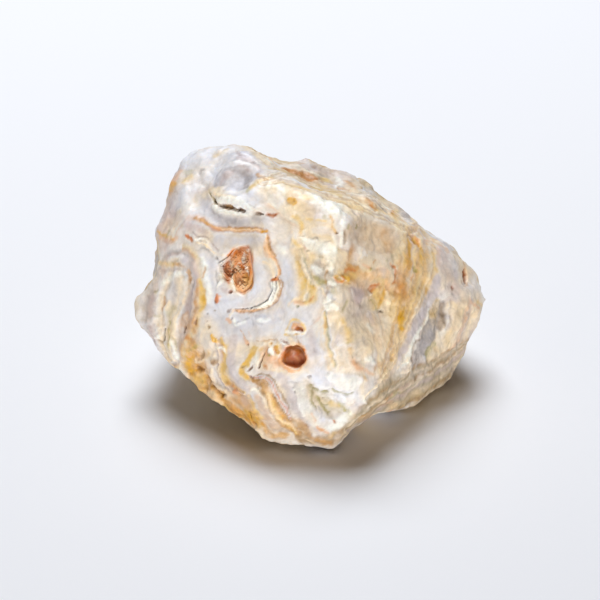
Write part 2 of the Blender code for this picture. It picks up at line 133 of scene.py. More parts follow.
# Marks: tone, strength, softness of the edge in pixels, rise in millimetres, and their trails, with a slash
# between two. A trail is a row of places: pixels across and down, and the half-width there. Later marks lie
# over earlier ones.
MARKS = {
    "ground of the upper left": [
        ("pearl", 0.9, 8, 0, "190 160 16, 230 165 22, 250 190 20"),
        ("pearl", 0.8, 8, 0, "180 200 12, 195 215 12"),
        ("mauve", 0.7, 6, 0, "176 172 6, 164 215 9, 163 250 8"),
        ("milk", 0.7, 6, 0, "188 190 7, 180 205 4"),
        ("mist", 0.7, 6, 0, "205 200 8, 212 215 6, 235 222 7, 262 220 5"),
        ("mist", 0.5, 6, 0, "212 158 5, 228 162 5"),
        ("slate", 0.4, 6, -0.1, "196 165 6, 202 180 5, 206 195 4"),
        ("mauve", 0.5, 6, 0, "175 215 7, 185 226 7, 198 228 5"),
    ],
    "ground of the banded face": [
        ("pearl", 0.9, 8, 0, "205 260 14, 215 300 16, 240 325 16, 275 325 12"),
        ("mist", 0.8, 5, 0, "222 240 8, 245 240 6, 258 240 5"),
        ("pearl", 0.9, 5, 0, "260 262 6, 258 285 8, 235 300 6"),
        ("cream", 0.6, 8, 0, "285 225 12, 286 208 8"),
        ("mist", 0.8, 5, 0, "284 262 5, 288 290 8, 282 310 6"),
        ("pearl", 0.9, 5, 0, "282 250 6, 290 300 8, 316 350 14, 328 330 8"),
        ("mist", 0.7, 6, 0, "222 322 6, 238 330 7, 262 332 6"),
        ("lilac", 0.85, 4, 0, "310 332 4, 313 350 5, 310 366 5"),
        ("lilac", 0.9, 3, 0, "262 371 3, 280 377 6, 290 388 7, 293 400 6, 300 412 4, 308 425 4"),
        ("cream", 0.8, 5, 0, "256 352 8, 266 345 6, 262 362 7, 276 364 5"),
        ("pearl", 0.9, 6, 0, "300 380 10, 330 385 16, 345 400 16, 330 415 12"),
        ("chalk", 0.65, 4, 0.2, "309 388 3, 316 396 6, 326 400 9, 320 411 6"),
        ("mist", 0.45, 5, 0, "298 392 7, 312 404 9, 324 414 8"),
        ("cream", 0.3, 3, 0, "310 395 3, 322 396 5, 336 405 5"),
        ("chalk", 0.8, 6, 0, "310 250 12, 325 262 12, 330 290 8"),
        ("cream", 0.8, 5, 0, "304 228 5, 322 230 8, 330 226 5"),
        ("cream", 0.6, 6, 0, "298 252 6, 312 248 7"),
    ],
    "ground of the left block": [
        ("mauve", 0.6, 5, 0, "152 300 6, 147 318 6, 152 335 5"),
        ("milk", 0.8, 6, 0, "172 285 9, 168 310 10"),
        ("cream", 0.8, 6, 0, "168 325 9, 172 340 9, 178 358 5"),
        ("honey", 0.5, 5, 0, "170 335 5, 178 350 6"),
        ("milk", 0.5, 4, 0, "140 312 3, 138 322 3"),
    ],
    "ground of the top": [
        ("cream", 0.8, 6, 0, "262 190 5, 300 192 8, 340 205 8, 362 206 6"),
        ("mauve", 0.6, 5, 0, "296 163 3, 320 170 4, 350 178 4, 330 184 5"),
        ("cream", 0.7, 5, 0, "352 196 5, 380 208 6, 405 225 5, 425 235 4"),
        ("honey", 0.35, 5, 0, "365 185 5, 385 198 4"),
        ("snow", 0.8, 5, 0.2, "318 200 5, 330 208 7, 342 214 4"),
        ("mist", 0.7, 4, 0, "340 182 4, 338 192 4"),
    ],
    "ground of the right face": [
        ("quartz", 0.9, 5, 0, "358 232 13, 380 238 17, 392 242 10"),
        ("cream", 0.8, 4, 0, "394 222 3, 402 236 5, 400 250 4"),
        ("cream", 0.6, 7, 0, "375 266 8, 386 272 6"),
        ("tan", 0.6, 7, -0.1, "350 268 6, 356 280 9, 375 288 10, 392 290 10, 400 300 9"),
        ("honey", 0.5, 6, 0, "345 276 6, 360 272 5, 385 283 6, 380 300 8"),
        ("honey", 0.6, 7, 0, "405 260 12, 420 260 9, 415 285 12, 400 310 14, 395 335 10"),
        ("mauve", 0.6, 6, 0, "356 294 7, 360 312 7"),
        ("cream", 0.7, 6, 0.1, "366 326 8, 368 345 8, 364 358 5"),
        ("salmon", 0.35, 6, 0, "372 320 6, 384 345 6"),
        ("cream", 0.7, 6, 0, "384 325 9, 390 350 9, 380 375 8"),
        ("sand", 0.5, 6, 0, "400 325 8, 396 350 7, 385 385 7"),
    ],
    "ground of the right end": [
        ("mauve", 0.6, 5, 0, "440 250 6, 448 270 6, 455 290 6"),
        ("milk", 0.6, 4, 0, "474 278 4, 474 290 5"),
        ("sand", 0.8, 6, 0, "470 305 8, 462 325 9, 450 350 10, 435 370 8"),
        ("cream", 0.6, 6, 0, "462 305 5, 470 320 5, 455 335 5"),
    ],
    "ground of the lower rim": [
        ("ochre", 0.85, 6, 0, "192 345 8, 196 365 11, 205 385 10, 225 402 10, 250 420 10"),
        ("drab", 0.9, 4, 0, "400 385 12, 380 398 9, 365 418 10, 420 388 9, 445 378 8"),
        ("bark", 0.9, 3, 0, "302 440 5, 330 440 6, 345 430 6"),
        ("bark", 0.8, 2, 0, "141 330 2, 150 344 3, 160 355 4, 170 364 4, 177 374 3"),
    ],
    "bands of the upper left": [
        ("gold", 0.8, 2, 0.1, "171 190 2, 172 185 3, 176 184 2"),
        ("ochre", 0.5, 1.5, 0, "171 191 1, 170 196 1"),
        ("honey", 0.7, 2, 0, "184 183 1.5, 187 179 1.5, 191 176 2"),
        ("salmon", 0.5, 2, 0, "172 182 3, 180 170 2"),
        ("olive", 0.4, 2, -0.1, "186 172 3, 191 171 2"),
        ("honey", 0.5, 2.5, 0, "214 155 2, 221 153 2, 228 151 1"),
        ("mist", 1, 0.9, 0, "214 186 1, 220 182 5, 227 178.5 9.5, 234 177 11, 241 177 12"),
        ("slate", 0.65, 0.9, 0, "214 186 1, 220 182 4.5, 227 178.5 9, 234 177 10.5, 241 177 11.5"),
        ("slate", 0.4, 0.9, 0, "246 172 2.5, 246 184 3"),
        ("mist", 0.8, 1.2, 0, "222 189 1.5, 230 189 3, 240 187 3.5"),
        ("mauve", 0.5, 1.5, 0, "220 185 1, 228 176 3, 233 172 2"),
        ("milk", 0.7, 1.2, 0, "214 184 0.8, 221 175 0.9, 227 168 1, 241 157 1"),
        ("slate", 0.35, 1.5, 0, "220 160 1, 232 154 1.5, 246 153 1.5"),
        ("mauve", 0.4, 1.5, 0, "240 166 2, 252 172 2"),
        ("mist", 0.9, 3, 0, "233 160 4, 246 159 5, 256 166 6, 256 176 5"),
        ("mauve", 0.5, 1.5, 0, "238 158 1.5, 250 163 2, 260 170 2"),
        ("milk", 0.7, 0.9, 0.1, "232 163 0.9, 243 162 1.1, 253 167 1"),
        ("milk", 0.6, 0.9, 0.1, "240 153 0.8, 252 158 0.9, 262 165 0.9"),
        ("mauve", 0.6, 1.2, -0.2, "236 151 1, 246 159 2, 256 163 1.2"),
        ("slate", 0.5, 1.2, -0.2, "198 174 1, 201 170 1.2, 205 169 0.8"),
        ("slate", 0.5, 1.5, -0.2, "243 160 1.5, 247 161 0.8"),
        ("slate", 0.4, 1.5, -0.2, "255 163 1, 259 166 1"),
        ("olive", 0.6, 1.5, 0, "247 191 1.2, 250 188 1.2"),
        ("honey", 0.8, 2, 0, "252 187 1.5, 257 182 2.2, 262 178 2, 268 176 1.2"),
        ("tan", 0.8, 1.5, 0, "257 175 2, 263 176 1.6, 267 177 1"),
        ("honey", 0.7, 2, 0, "268 176 1.2, 278 173 1.6, 284 171 1.2"),
        ("cream", 0.8, 1.2, 0.15, "216 194.5 1.2, 225 196.5 2, 235 198.5 2"),
        ("snow", 0.9, 2.5, 0.3, "214 208 2, 225 201 3, 240 203 3.5, 250 208 3"),
        ("snow", 0.8, 2.5, 0.2, "217 211 2.5, 228 212 3, 240 213 2, 250 214 2"),
        ("mist", 0.8, 3, -0.1, "203 203 4, 210 212 4, 220 219 3.5, 235 221 3.5, 248 221 3"),
        ("slate", 0.4, 2.5, -0.1, "213 213 2.5, 221 220 4, 235 221.5 4, 245 222 3.5"),
        ("snow", 0.6, 1.2, 0, "247 215 0.8, 250 219 0.8, 253 225 0.8"),
        ("slate", 0.35, 1.5, 0, "254 216 3, 257 221 2"),
        ("olive", 0.6, 1.2, -0.1, "269.5 194 1, 269.5 197 1"),
    ],
    "crack": [
        ("olive", 0.9, 0.8, -0.4, "208 192 0.7, 211 196 0.9, 214 200 1, 216 204 1.2"),
        ("umber", 0.8, 0.8, -0.5, "212 196 0.7, 216 202 0.9, 220 205 0.9"),
        ("umber", 0.9, 0.8, -0.7, "220 205.5 0.9, 226 206.5 1.9, 232 208 1.8, 237 209.8 0.9"),
        ("umber", 0.9, 0.8, -0.6, "237 209.8 0.8, 240 209.8 1.4, 243.5 210.8 1.1"),
        ("ochre", 0.6, 0.8, 0, "225 205.5 0.8, 230 207 0.8"),
        ("tan", 0.6, 0.8, 0, "225 208 1, 231 209.5 0.8"),
        ("umber", 0.8, 0.8, -0.7, "255 214.5 0.8, 259 213.5 1.5, 262.5 214 0.9"),
        ("brick", 0.7, 1, -0.25, "267 214.5 1, 270 215 2.4, 274 214.5 1.2"),
        ("rust", 0.8, 1, 0, "267 214 1.4, 271 215.5 1.8, 277 214 0.8"),
        ("slate", 0.5, 1, -0.2, "247 202 0.6, 250 205 0.8, 254 208 0.6"),
    ],
    "ring ledge": [
        ("salmon", 0.5, 3, 0, "190 218 2, 200 218 2.5, 207 221 2"),
        ("tan", 0.9, 1.3, 0, "196 218.5 1, 203 220 1.6, 209 224 2, 213 228 2.5"),
        ("rust", 0.6, 1.5, 0, "211 227 1.2, 216 229.5 2.2, 220 229 1.2"),
        ("salmon", 0.4, 1.5, 0, "216 229 2, 225 228 2, 240 229 2, 252 230 2, 262 231 1.8"),
        ("tan", 0.7, 1, -0.1, "222 226.6 0.7, 240 227.2 0.8, 255 228.6 0.8, 262 230 0.8"),
        ("ochre", 0.9, 0.8, 0, "262 232 1.2, 266 231.5 1.8"),
        ("salmon", 0.6, 2, 0, "268 233 1.2, 269 239 1.5"),
        ("peach", 0.6, 1.2, 0.1, "266.5 240 1.2, 267 249 3.5, 268 255 3.5, 274 257 1"),
        ("tan", 0.9, 0.9, -0.15, "268.5 238 0.7, 270 245 1, 272 251 1.2, 275.5 257 0.9"),
        ("ochre", 0.5, 1.5, 0, "265 247 0.8, 266 253 1"),
        ("salmon", 0.8, 1, 0, "273 257.5 0.9, 277 262 0.9, 279 268 1.2, 279 274 1, 276 278 0.8"),
        ("cream", 0.8, 1, 0.1, "263 262 0.8, 268 264 0.9, 272 269 1, 273 276 0.9"),
        ("slate", 0.35, 1, 0, "263 265 1, 268 269 0.8, 270 275 0.6"),
        ("rust", 0.9, 0.8, -0.1, "271 280 0.9, 274 278.8 1.6, 277 279.3 0.9"),
        ("snow", 0.95, 0.9, 0.2, "272.5 283 1.3, 273.5 290 1.7, 271 298 1.8, 265 304 1.8, 257 308 1.2"),
        ("slate", 0.45, 0.8, -0.15, "270 283 0.6, 270.3 291 0.7, 266 299 0.8, 259 305 0.9, 251 308 0.6"),
        ("snow", 0.6, 0.8, 0.1, "277 283 0.7, 278 290 0.8, 275 298 0.8, 269 305 0.7"),
        ("tan", 0.8, 0.8, -0.1, "279.5 280 0.8, 281.5 286 0.9, 280 294 1, 276 301 1, 270 306 0.9, "
         "262 309.5 1, 252 311.5 1, 245 312 0.9"),
        ("salmon", 0.85, 1, 0, "234 310.5 1.2, 243 311 1.7, 252 311 1.4, 262 308 0.7"),
        ("salmon", 0.5, 1, 0, "231 309.5 1, 237 312.5 1, 248 313.5 0.8"),
        ("mauve", 0.4, 1, 0, "283 284 0.8, 284 292 0.9, 280 301 0.9, 274 308 0.8"),
        ("mist", 0.5, 1.2, 0, "287 280 1, 289 292 1.2, 285 304 1"),
    ],
    "left of the upper hollow": [
        ("mauve", 0.5, 2, 0, "190 226 4, 200 229 4, 206 232 3"),
        ("mauve", 0.6, 1, -0.2, "193 233 0.8, 198 237 0.8, 205 236 0.9, 210 240 1, 215 246 1, 219 251 0.7"),
        ("mist", 0.6, 2, 0, "210 228 2, 216 234 2.5, 224 238 3"),
        ("snow", 0.8, 1, 0.15, "195 239.5 1, 203 239 0.8, 209 243 0.8"),
        ("cream", 0.9, 0.9, 0.25, "197 242.5 0.9, 205 244 0.9, 211 249 1, 217 254.5 1, 223 256.5 0.9"),
        ("slate", 0.5, 0.9, -0.15, "200 241 0.8, 204 243 0.6"),
        ("slate", 0.45, 1.2, -0.1, "201 248 1, 208 250 1.2, 213 256 1"),
        ("slate", 0.6, 0.8, -0.3, "216.5 256 0.6, 217.3 260 0.7"),
        ("slate", 0.5, 0.9, -0.2, "214.5 270 0.8, 217 279 1.2, 218 284 1, 215 291 0.8"),
        ("snow", 0.9, 1, 0.3, "220 274 1.3, 222 279 2, 219 285 1.5, 217 288 1"),
        ("mauve", 0.6, 1.5, 0, "222 289 2, 228 291 2.5"),
        ("snow", 0.9, 2, 0.1, "202 260 3, 206 275 3, 209 290 3, 207 300 3"),
        ("mist", 0.6, 2, 0, "211 262 1.5, 212 275 1.5, 212 290 1.5"),
        ("olive", 0.35, 1.2, 0, "197 257 1, 201 260 1"),
        ("rust", 0.9, 0.9, 0.15, "216.5 296 2, 216.8 300 2.3"),
        ("salmon", 0.6, 0.8, 0.1, "219.5 297 1"),
        ("umber", 0.6, 0.8, -0.2, "215 301 0.8"),
        ("brick", 0.9, 0.8, -0.5, "231 291.5 1.6"),
    ],
    "upper hollow": [
        ("ember", 0.95, 1.2, 0, "230 258 4, 240 256 9, 243 270 10, 244 284 9"),
        ("rust", 0.9, 1.2, 0, "226 266 4, 228 276 3, 229 282 1.5"),
        ("rust", 0.9, 1.5, 0, "230 256 2, 237 252 3, 244 250 2, 249 248 1.2"),
        ("brick", 0.8, 1.2, 0, "239 252 1.5, 245 249 1, 250 248 0.8"),
        ("brick", 0.6, 1.5, 0, "223 266 1.5, 226 272 1.8, 229 281 1"),
        ("peach", 0.8, 1.5, 0, "235 262 3, 238 258 2"),
        ("rust", 0.8, 1.2, 0, "251 252 1, 252 262 1.6, 251 268 1.2"),
        ("rust", 0.8, 1, 0, "237 265 1.2, 242 267 1.4, 246 269 1"),
        ("peach", 0.95, 1.5, 0, "239 275 4, 242 283 7, 244 289 6"),
        ("honey", 0.5, 1.5, 0, "246 277 3, 247 286 3"),
        ("ochre", 0.5, 1.5, 0, "248 275 2, 250 284 2"),
        ("rust", 0.5, 1, 0, "236.5 291 0.8, 243 293.5 0.8, 249 290 0.8"),
        ("ochre", 0.7, 1, 0, "252 275 0.8, 252.5 284 1, 250 290 1"),
        ("snow", 0.95, 0.8, 0.1, "245 253 1, 243.5 260 2, 243 263 1.2 / 246 266 1, 247.5 271 1.4"),
        ("mauve", 0.7, 0.8, 0.1, "246 254 0.8, 246 259 0.9"),
        ("cream", 0.95, 0.8, 0.1, "237 268 2.2, 240 271 2"),
        ("snow", 0.95, 0.8, 0.2, "232 278 1, 233 284 1.6, 234.5 290 1.2"),
        ("brick", 0.6, 0.8, 0, "233 271 0.8, 236 274 1"),
        ("cream", 0.6, 1.5, 0, "240 280 2, 243 285 3, 245 289 2"),
        ("peach", 0.8, 1.2, 0, "247 258 1.5, 249 266 1.5"),
    ],
    "right of the ring": [
        ("snow", 0.7, 3, 0.1, "279 247 2.5, 284 252 3"),
        ("honey", 0.8, 1.5, 0, "293 217 1.5, 299 221 2.5, 302 227 2.2, 301 234 1.5"),
        ("honey", 0.8, 2, 0.15, "294 241 2, 297 244 2.5, 300 246 1.5"),
        ("cream", 0.8, 1.5, 0.1, "292 232 0.8, 294 238 0.8, 292 245 0.8"),
        ("honey", 0.7, 1.2, 0, "304 220.5 0.9, 314 220 1.2, 326 221.5 1"),
        ("sand", 0.7, 2, -0.1, "305 214 4, 312 213 3"),
        ("cream", 0.8, 3, 0, "295 251 4, 305 254 4, 312 252 4"),
        ("olive", 0.7, 0.8, -0.3, "307 250.5 0.8"),
        ("tan", 0.5, 1, -0.15, "302 244 0.9"),
        ("slate", 0.6, 1, -0.3, "300 237 0.7, 304 237.5 0.7"),
        ("slate", 0.5, 1, -0.2, "312 239 0.8, 316 237 0.7, 320 243 0.8, 330 241 0.8"),
        ("umber", 0.8, 0.8, -0.4, "320 262 0.9"),
        ("olive", 0.5, 1, -0.3, "318 256 0.9, 322 258 0.9"),
        ("honey", 0.7, 2, 0, "299 263 2, 301 275 2.5, 303 287 3, 302 296 2.5"),
        ("honey", 0.7, 2.5, 0, "306 283 3, 311 290 5, 315 298 4, 308 303 3"),
        ("gold", 0.4, 1.2, 0, "301 265 0.8, 303 275 0.8, 307 284 0.8, 315 288 0.8"),
        ("cream", 0.8, 1.2, 0.15, "301 261 0.8, 305 268 0.9, 307 277 0.9, 314 283 0.9, 322 288 0.9, "
         "325 296 0.8"),
        ("olive", 0.7, 2, 0, "315 276 1.5, 319 282 3.5, 325 283 2"),
        ("cream", 0.75, 3, 0, "303 240 5, 312 250 9, 324 252 10, 330 262 8"),
        ("snow", 0.6, 2.5, 0.1, "306 243 4, 318 247 6, 329 250 7, 331 260 5"),
        ("snow", 0.6, 1.2, 0.12, "302 238.5 1.2, 309 240 1.8, 316 241 1.2"),
        ("snow", 0.6, 1.5, 0.12, "332 235 1.5, 336 244 2, 334 252 1.6"),
        ("snow", 0.75, 1.8, 0.15, "314 268 2, 319 271 3"),
        ("snow", 0.7, 1.8, 0.15, "327 267 2.5, 332 269 2.5"),
        ("mauve", 0.35, 1.2, -0.06, "304 246 1.2, 307 257 1.5, 309 262 1"),
        ("salmon", 0.4, 1, 0, "302 243 0.9, 305 248 0.9"),
        ("honey", 0.35, 2.5, 0, "310 262 3, 312 255 2"),
        ("milk", 0.6, 1.8, 0, "315 230 3, 324 231 4.5"),
        ("snow", 0.8, 1.5, 0.2, "330 283 2.5, 335 284 1.8"),
        ("tan", 0.6, 1, -0.15, "326.5 271 1, 325.5 280 0.8, 327 290 0.9, 326.5 300 0.7"),
        ("rust", 0.5, 1, 0, "310 301.5 1, 314 297 0.6"),
        ("olive", 0.7, 1, -0.3, "299 307 1"),
        ("salmon", 0.6, 2, 0, "298 302 2, 304 304 2"),
        ("cream", 0.8, 1.5, 0.15, "290 305 1, 294 300 1.2, 300 298.5 1"),
        ("snow", 0.8, 1.5, 0.25, "330 297 3, 328 305 4, 336 307 3"),
        ("mist", 0.6, 1, -0.08, "326 291 1.5, 333 297 1.5, 338 301 1.5"),
        ("honey", 0.4, 1.5, 0, "336 289 1.5, 338 296 1.5"),
        ("slate", 0.5, 1, -0.2, "336 298 1, 333 301 0.7, 326 304 0.7"),
        ("olive", 0.5, 1.5, 0, "332 291 1.5, 334 293 1.5"),
        ("honey", 0.6, 1.5, 0, "325 314 1.2, 325 325 1.2, 324.5 333 1"),
        ("tan", 0.5, 1, -0.15, "326 318 0.6, 325.5 328 0.8"),
    ],
    "boss at the top": [
        ("milk", 0.8, 4, 0, "272 196 5, 280 200 6, 281 190 4"),
        ("gold", 0.8, 1.2, 0.1, "288 198 1.5, 291 201 3.5, 294 200 2.5"),
        ("ochre", 0.5, 1, -0.1, "288 199 0.8, 287 203 0.8, 294 199 0.8"),
        ("honey", 0.5, 1, 0, "305 198 2, 310 198 1.5"),
        ("honey", 0.6, 1.5, 0, "286 186 1, 300 187 1.6, 310 189 1"),
        ("snow", 0.6, 2, 0.2, "268 186 2, 276 187 2, 283 192 2"),
        ("snow", 0.7, 1.5, 0.2, "306 192 1, 316 196 2.5, 326 204 4, 337 210 4"),
        ("sand", 0.5, 2, -0.1, "308 208 4, 318 208 4"),
        ("olive", 0.5, 1.5, 0, "325 217 2, 328 219 1.5"),
        ("gold", 0.7, 1.5, 0, "331 216 1.2, 333 222 1.5, 332 228 1.5, 336 233 1.2"),
        ("pit", 0.8, 0.8, -0.2, "333.3 221.5 0.7"),
        ("umber", 0.8, 0.8, -0.2, "337 233.5 0.9"),
        ("olive", 0.6, 0.8, -0.2, "346.5 228 0.8, 346.5 224 0.6"),
        ("olive", 0.7, 0.8, -0.2, "356.5 228 0.9, 357.5 225 0.6"),
        ("slate", 0.4, 1.5, -0.1, "366 228 1.2"),
        ("cream", 0.9, 1.2, 0.1, "349 203 3, 356 207 4, 360 212 3"),
        ("mauve", 0.6, 0.8, -0.2, "349 208 0.6, 355 213 0.7, 361 215 0.7, 363 222 0.7"),
        ("snow", 0.8, 1.5, 0.1, "342 220 2, 341.5 232 1.8, 340 246 2"),
        ("bark", 0.6, 1.5, -0.25, "344.5 231 1, 345 238 1.6, 344.5 244 1"),
        ("umber", 0.35, 0.8, -0.2, "343.3 238 0.5, 343.6 243 0.5"),
    ],
    "top": [
        ("tan", 0.9, 1.5, 0, "282 168 1, 290 171 2.5, 300 175 3.5, 310 178 3, 322 181 1.5"),
        ("rust", 0.5, 1.2, -0.1, "284 169 1, 291 171 2, 299 174.5 2.5, 308 178 2.3, 317 180.5 1.2"),
        ("bark", 0.35, 1, 0, "285 169 1, 299 174 1.5, 312 179 1.2"),
        ("honey", 0.7, 1.5, 0, "320 177.5 1, 326 180 2, 331 183 1"),
        ("snow", 0.6, 1, 0.1, "293 165 0.8, 301 168 0.8, 310 173 0.9, 320 176 0.7"),
        ("slate", 0.4, 1, -0.1, "303 168 0.6, 310 172 0.7"),
        ("tan", 0.5, 1.2, 0, "297 163 1.2, 303 163 1 / 313 167 1.5"),
        ("slate", 0.4, 1, 0, "320 174 1.5, 328 176 1.5"),
        ("snow", 0.7, 1.5, 0.1, "335 178 2, 340 183 2.5, 336 188 1.5"),
        ("honey", 0.6, 1.2, 0, "318 186 1, 326 189 1.2, 336 195 1.5, 341 197 1.2"),
        ("tan", 0.85, 1.5, 0, "344 182 1.2, 349 184.5 2, 355 188 1.5"),
        ("sand", 0.6, 2, 0, "352 181 2, 358 186 3"),
        ("tan", 0.7, 1.2, 0, "338 188 0.8, 345 190 1, 352 191 0.8"),
        ("slate", 0.4, 2, 0, "360 194 1.5, 370 197 2, 378 200 1.5"),
        ("milk", 0.7, 2, 0, "362 188 3, 370 193 2.5"),
        ("tan", 0.85, 1.2, -0.1, "366 201 1.2, 371 204 2.2, 376 209 1.8"),
        ("rust", 0.45, 1, 0, "368 202 1, 373 207 1.4"),
        ("honey", 0.5, 2, 0, "379 210 2.5, 384 213 2"),
        ("slate", 0.7, 0.8, -0.2, "380 204 0.6, 385 208 0.9, 389 212 0.7"),
        ("ochre", 0.8, 1.5, 0, "393 212 1.8, 395 216 1.2"),
        ("honey", 0.5, 2, 0, "396 210 2, 396 220 2, 399 228 1"),
        ("slate", 0.8, 2, 0, "398 203 1.5, 407 213 5, 415 220 4, 420 225 2"),
        ("cream", 0.8, 1.2, 0.15, "390 222 1, 400 230 1.2, 408 234 1.3, 420 240 1"),
    ],
    "ridge pit": [
        ("rust", 0.95, 1, -0.2, "411 237 0.8, 415 241 2.8, 419 244.5 1.2"),
        ("brick", 0.6, 1, -0.2, "413 239 0.8, 415 243 1.2"),
        ("gold", 0.8, 1.2, 0, "409 235.5 0.8, 421 247 1.4, 424 250 1"),
    ],
    "right face": [
        ("slate", 0.3, 5, 0, "352 238 5, 356 250 4"),
        ("tan", 0.4, 3, 0, "385 235 5, 390 250 4"),
        ("slate", 0.35, 1, -0.1, "371 240 0.5, 374 248 0.7, 373 256 0.5"),
        ("cream", 0.5, 1, 0.1, "362 248 0.5, 360 256 0.6, 358 262 0.5"),
        ("tan", 0.75, 2, -0.1, "353 245 1.5, 352.5 253 2.5, 350 263 2.5"),
        ("cream", 0.7, 3, 0, "346 254 3, 343 264 3"),
        ("honey", 0.5, 2.5, 0.1, "342 273 4, 350 277 5, 357 274 3, 346 285 2"),
        ("tan", 0.45, 2, 0, "341 276 2, 348 272 3, 353 279 3"),
        ("tan", 0.85, 1.2, 0.1, "347 269 1.5, 351 267 3, 357 268 2.5"),
        ("rust", 0.6, 1, 0, "346 271 1, 350 268 1.2, 356 271 1.2"),
        ("gold", 0.8, 1.3, 0.15, "336 278 2.5, 341 279 3.5, 348 279 3"),
        # Painted highlights: white glints on the gold blob.
        ("snow", 0.7, 0.9, 0.1, "340 276.5 1, 345 281 0.9"),
        ("peach", 0.5, 1.5, 0, "360 273 3, 368 277 4, 382 272 5, 388 280 3"),
        ("rust", 0.7, 1.2, 0.2, "334 278 0.8, 338 282 1.5, 342 281 1.2, 343 275 0.9"),
        ("tan", 0.6, 1, 0, "345 283 0.9, 351 284 0.8, 352 278 0.8 / 378 269.5 0.9"),
        ("salmon", 0.8, 1.5, 0, "363 265 1, 367 266.5 1.8, 369 268 1.2"),
        ("olive", 0.8, 1, 0, "370 269 1.2"),
        ("tan", 0.8, 1, 0, "375 261.5 0.9, 373 263.5 0.8"),
        ("olive", 0.5, 1.2, 0, "385 261 1.2"),
        ("olive", 0.4, 1.5, 0, "392 256 1.5"),
        ("tan", 0.4, 1.5, -0.1, "366 273 1.2, 366 279 1"),
        ("mist", 0.4, 2, 0, "382 270 2.5, 383 277 2"),
        ("rust", 0.85, 1, -0.08, "389.5 264 0.9, 393.5 268 1.2, 395.3 275 1.4, 394 283 1.3"),
        ("tan", 0.8, 2, 0, "396 285 2.5, 397 293 3, 394 300 1.5"),
        ("brick", 0.5, 1.2, -0.1, "396 286 1, 396 292 1"),
        ("rust", 0.85, 1.2, -0.15, "369 289 1.2, 373 286 1.2, 379 285 1"),
        ("rust", 0.8, 1.2, -0.15, "371.5 291 1.8, 375 289 1"),
        ("brick", 0.5, 1, 0, "376 288 0.8"),
        ("snow", 0.7, 1, 0.15, "372 295 0.9, 368 292 0.6"),
        ("honey", 0.6, 1.8, 0, "377 292 3.5, 379 300 3.5, 376 307 3"),
        ("gold", 0.7, 1, -0.06, "384 291 1, 383 297 1.5, 380 303 1.5, 379 308 1"),
        ("sand", 0.6, 1, 0.08, "373 297 1.2, 376 302 1.3, 373 307 1"),
        ("tan", 0.6, 1, -0.06, "381 288 1, 379 294 1.2, 381 300 1"),
        ("salmon", 0.6, 2, 0, "388 285 3, 388 292 2"),
        ("pit", 0.95, 0.8, -0.7, "382 310.5 1.6"),
        ("olive", 0.5, 1, 0, "374 300 1, 378 310 1"),
        ("cream", 0.85, 1.1, 0.1, "387.5 293 1.4, 387.5 300 1.7, 387 310 1.3"),
        ("mauve", 0.8, 2, 0, "352 290 3, 357 294 6, 359 300 5"),
        ("slate", 0.3, 1.5, 0, "355 290 2, 360 298 3"),
        # Painted highlight: a white glint on the mauve facet.
        ("snow", 0.5, 1, 0, "351 290 0.6, 352 297 0.6"),
        ("olive", 0.5, 1.2, -0.1, "346 301 1, 344 306 1.3, 342.5 311 1"),
        ("gold", 0.8, 1.2, 0, "407 240 1.5, 409 247 2, 410 256 1.2"),
        ("ochre", 0.6, 2, 0, "407 255 2, 408 265 2.5, 404 275 2, 404 284 1.5"),
        ("tan", 0.7, 3, 0, "399 276 4, 402 288 5, 403 298 4"),
        ("rust", 0.4, 2, 0, "398 282 2, 403 292 2"),
        ("tan", 0.5, 2, 0, "399 258 2.5, 399 268 2.5, 402 282 3"),
        ("olive", 0.8, 1.2, -0.2, "413 268 2, 415 271 2.2"),
        ("rust", 0.6, 1.5, 0, "413 275 1.2, 411.5 280 1.2"),
        ("gold", 0.6, 2, 0, "421 249 2, 424 257 3, 423 265 2"),
        ("honey", 0.6, 1.5, 0, "432 252 1.5, 434 262 2, 438 272 1.8"),
        ("tan", 0.5, 1.2, 0, "445 246 1, 447 254 1"),
        ("tan", 0.5, 3, 0, "402 292 4, 408 300 4, 412 290 3"),
        ("gold", 0.9, 1.5, 0, "402 308 1.5, 401 318 3.2, 402 328 2.5"),
        ("umber", 0.4, 0.8, 0, "402.5 308 0.6, 401.5 316 0.6"),
        ("gold", 0.7, 1.2, 0, "428 288 1, 428 299 1.8, 421 310 1.8, 416 314 0.8"),
        ("cream", 0.7, 1.2, 0.15, "424 305 0.8, 414 316 0.9, 407 328 1, 400 342 0.8"),
        ("salmon", 0.4, 3, 0, "413 322 2, 407 333 2"),
        ("lilac", 0.95, 1.5, 0, "438 278 3.5, 435 290 5, 429 303 5, 420 318 5.5, 413 331 4, 406 346 3, "
         "400 359 2.5"),
        ("snow", 0.8, 1, 0.15, "430 309 0.7, 426 322 1, 419 330 1.2, 413 343 2.2, 409 355 2.4, "
         "403 366 1.5"),
        ("slate", 0.3, 1.5, -0.15, "362 338 2, 365 344 3"),
        ("snow", 0.6, 2, 0.1, "370 326 3, 374 332 2"),
        ("umber", 0.6, 0.8, -0.2, "364 330 0.7"),
        ("sand", 0.6, 4, 0, "344 318 4, 347 335 5, 347 350 4"),
        ("honey", 0.7, 3, 0, "343 320 2, 347 330 2.5, 348 341 2.5"),
        ("olive", 0.5, 1.5, 0, "347 343 1.5"),
        ("gold", 0.7, 2, 0, "350 349 1.5, 351.5 355 2"),
        ("umber", 0.8, 0.8, -0.25, "353.5 357.7 0.9"),
        ("peach", 0.7, 2.5, 0, "353 360 2.5, 358 367 3.5, 366 371 2.5, 372 374 1.5"),
        ("salmon", 0.7, 1.2, 0, "355 362 1.3, 357 366 1.6, 362 369 1"),
        ("gold", 0.5, 1.5, 0, "364 377 1.8, 366 380 1"),
        ("tan", 0.5, 2, 0, "373 368 1.5, 379 364 3.5"),
        ("ochre", 0.5, 1, -0.1, "374 370 0.8, 376 366 0.6"),
        ("snow", 0.7, 2, 0.15, "368 358 3, 373 362 2"),
        ("gold", 0.6, 1.5, 0, "391 352 1.3, 391.5 360 1.3"),
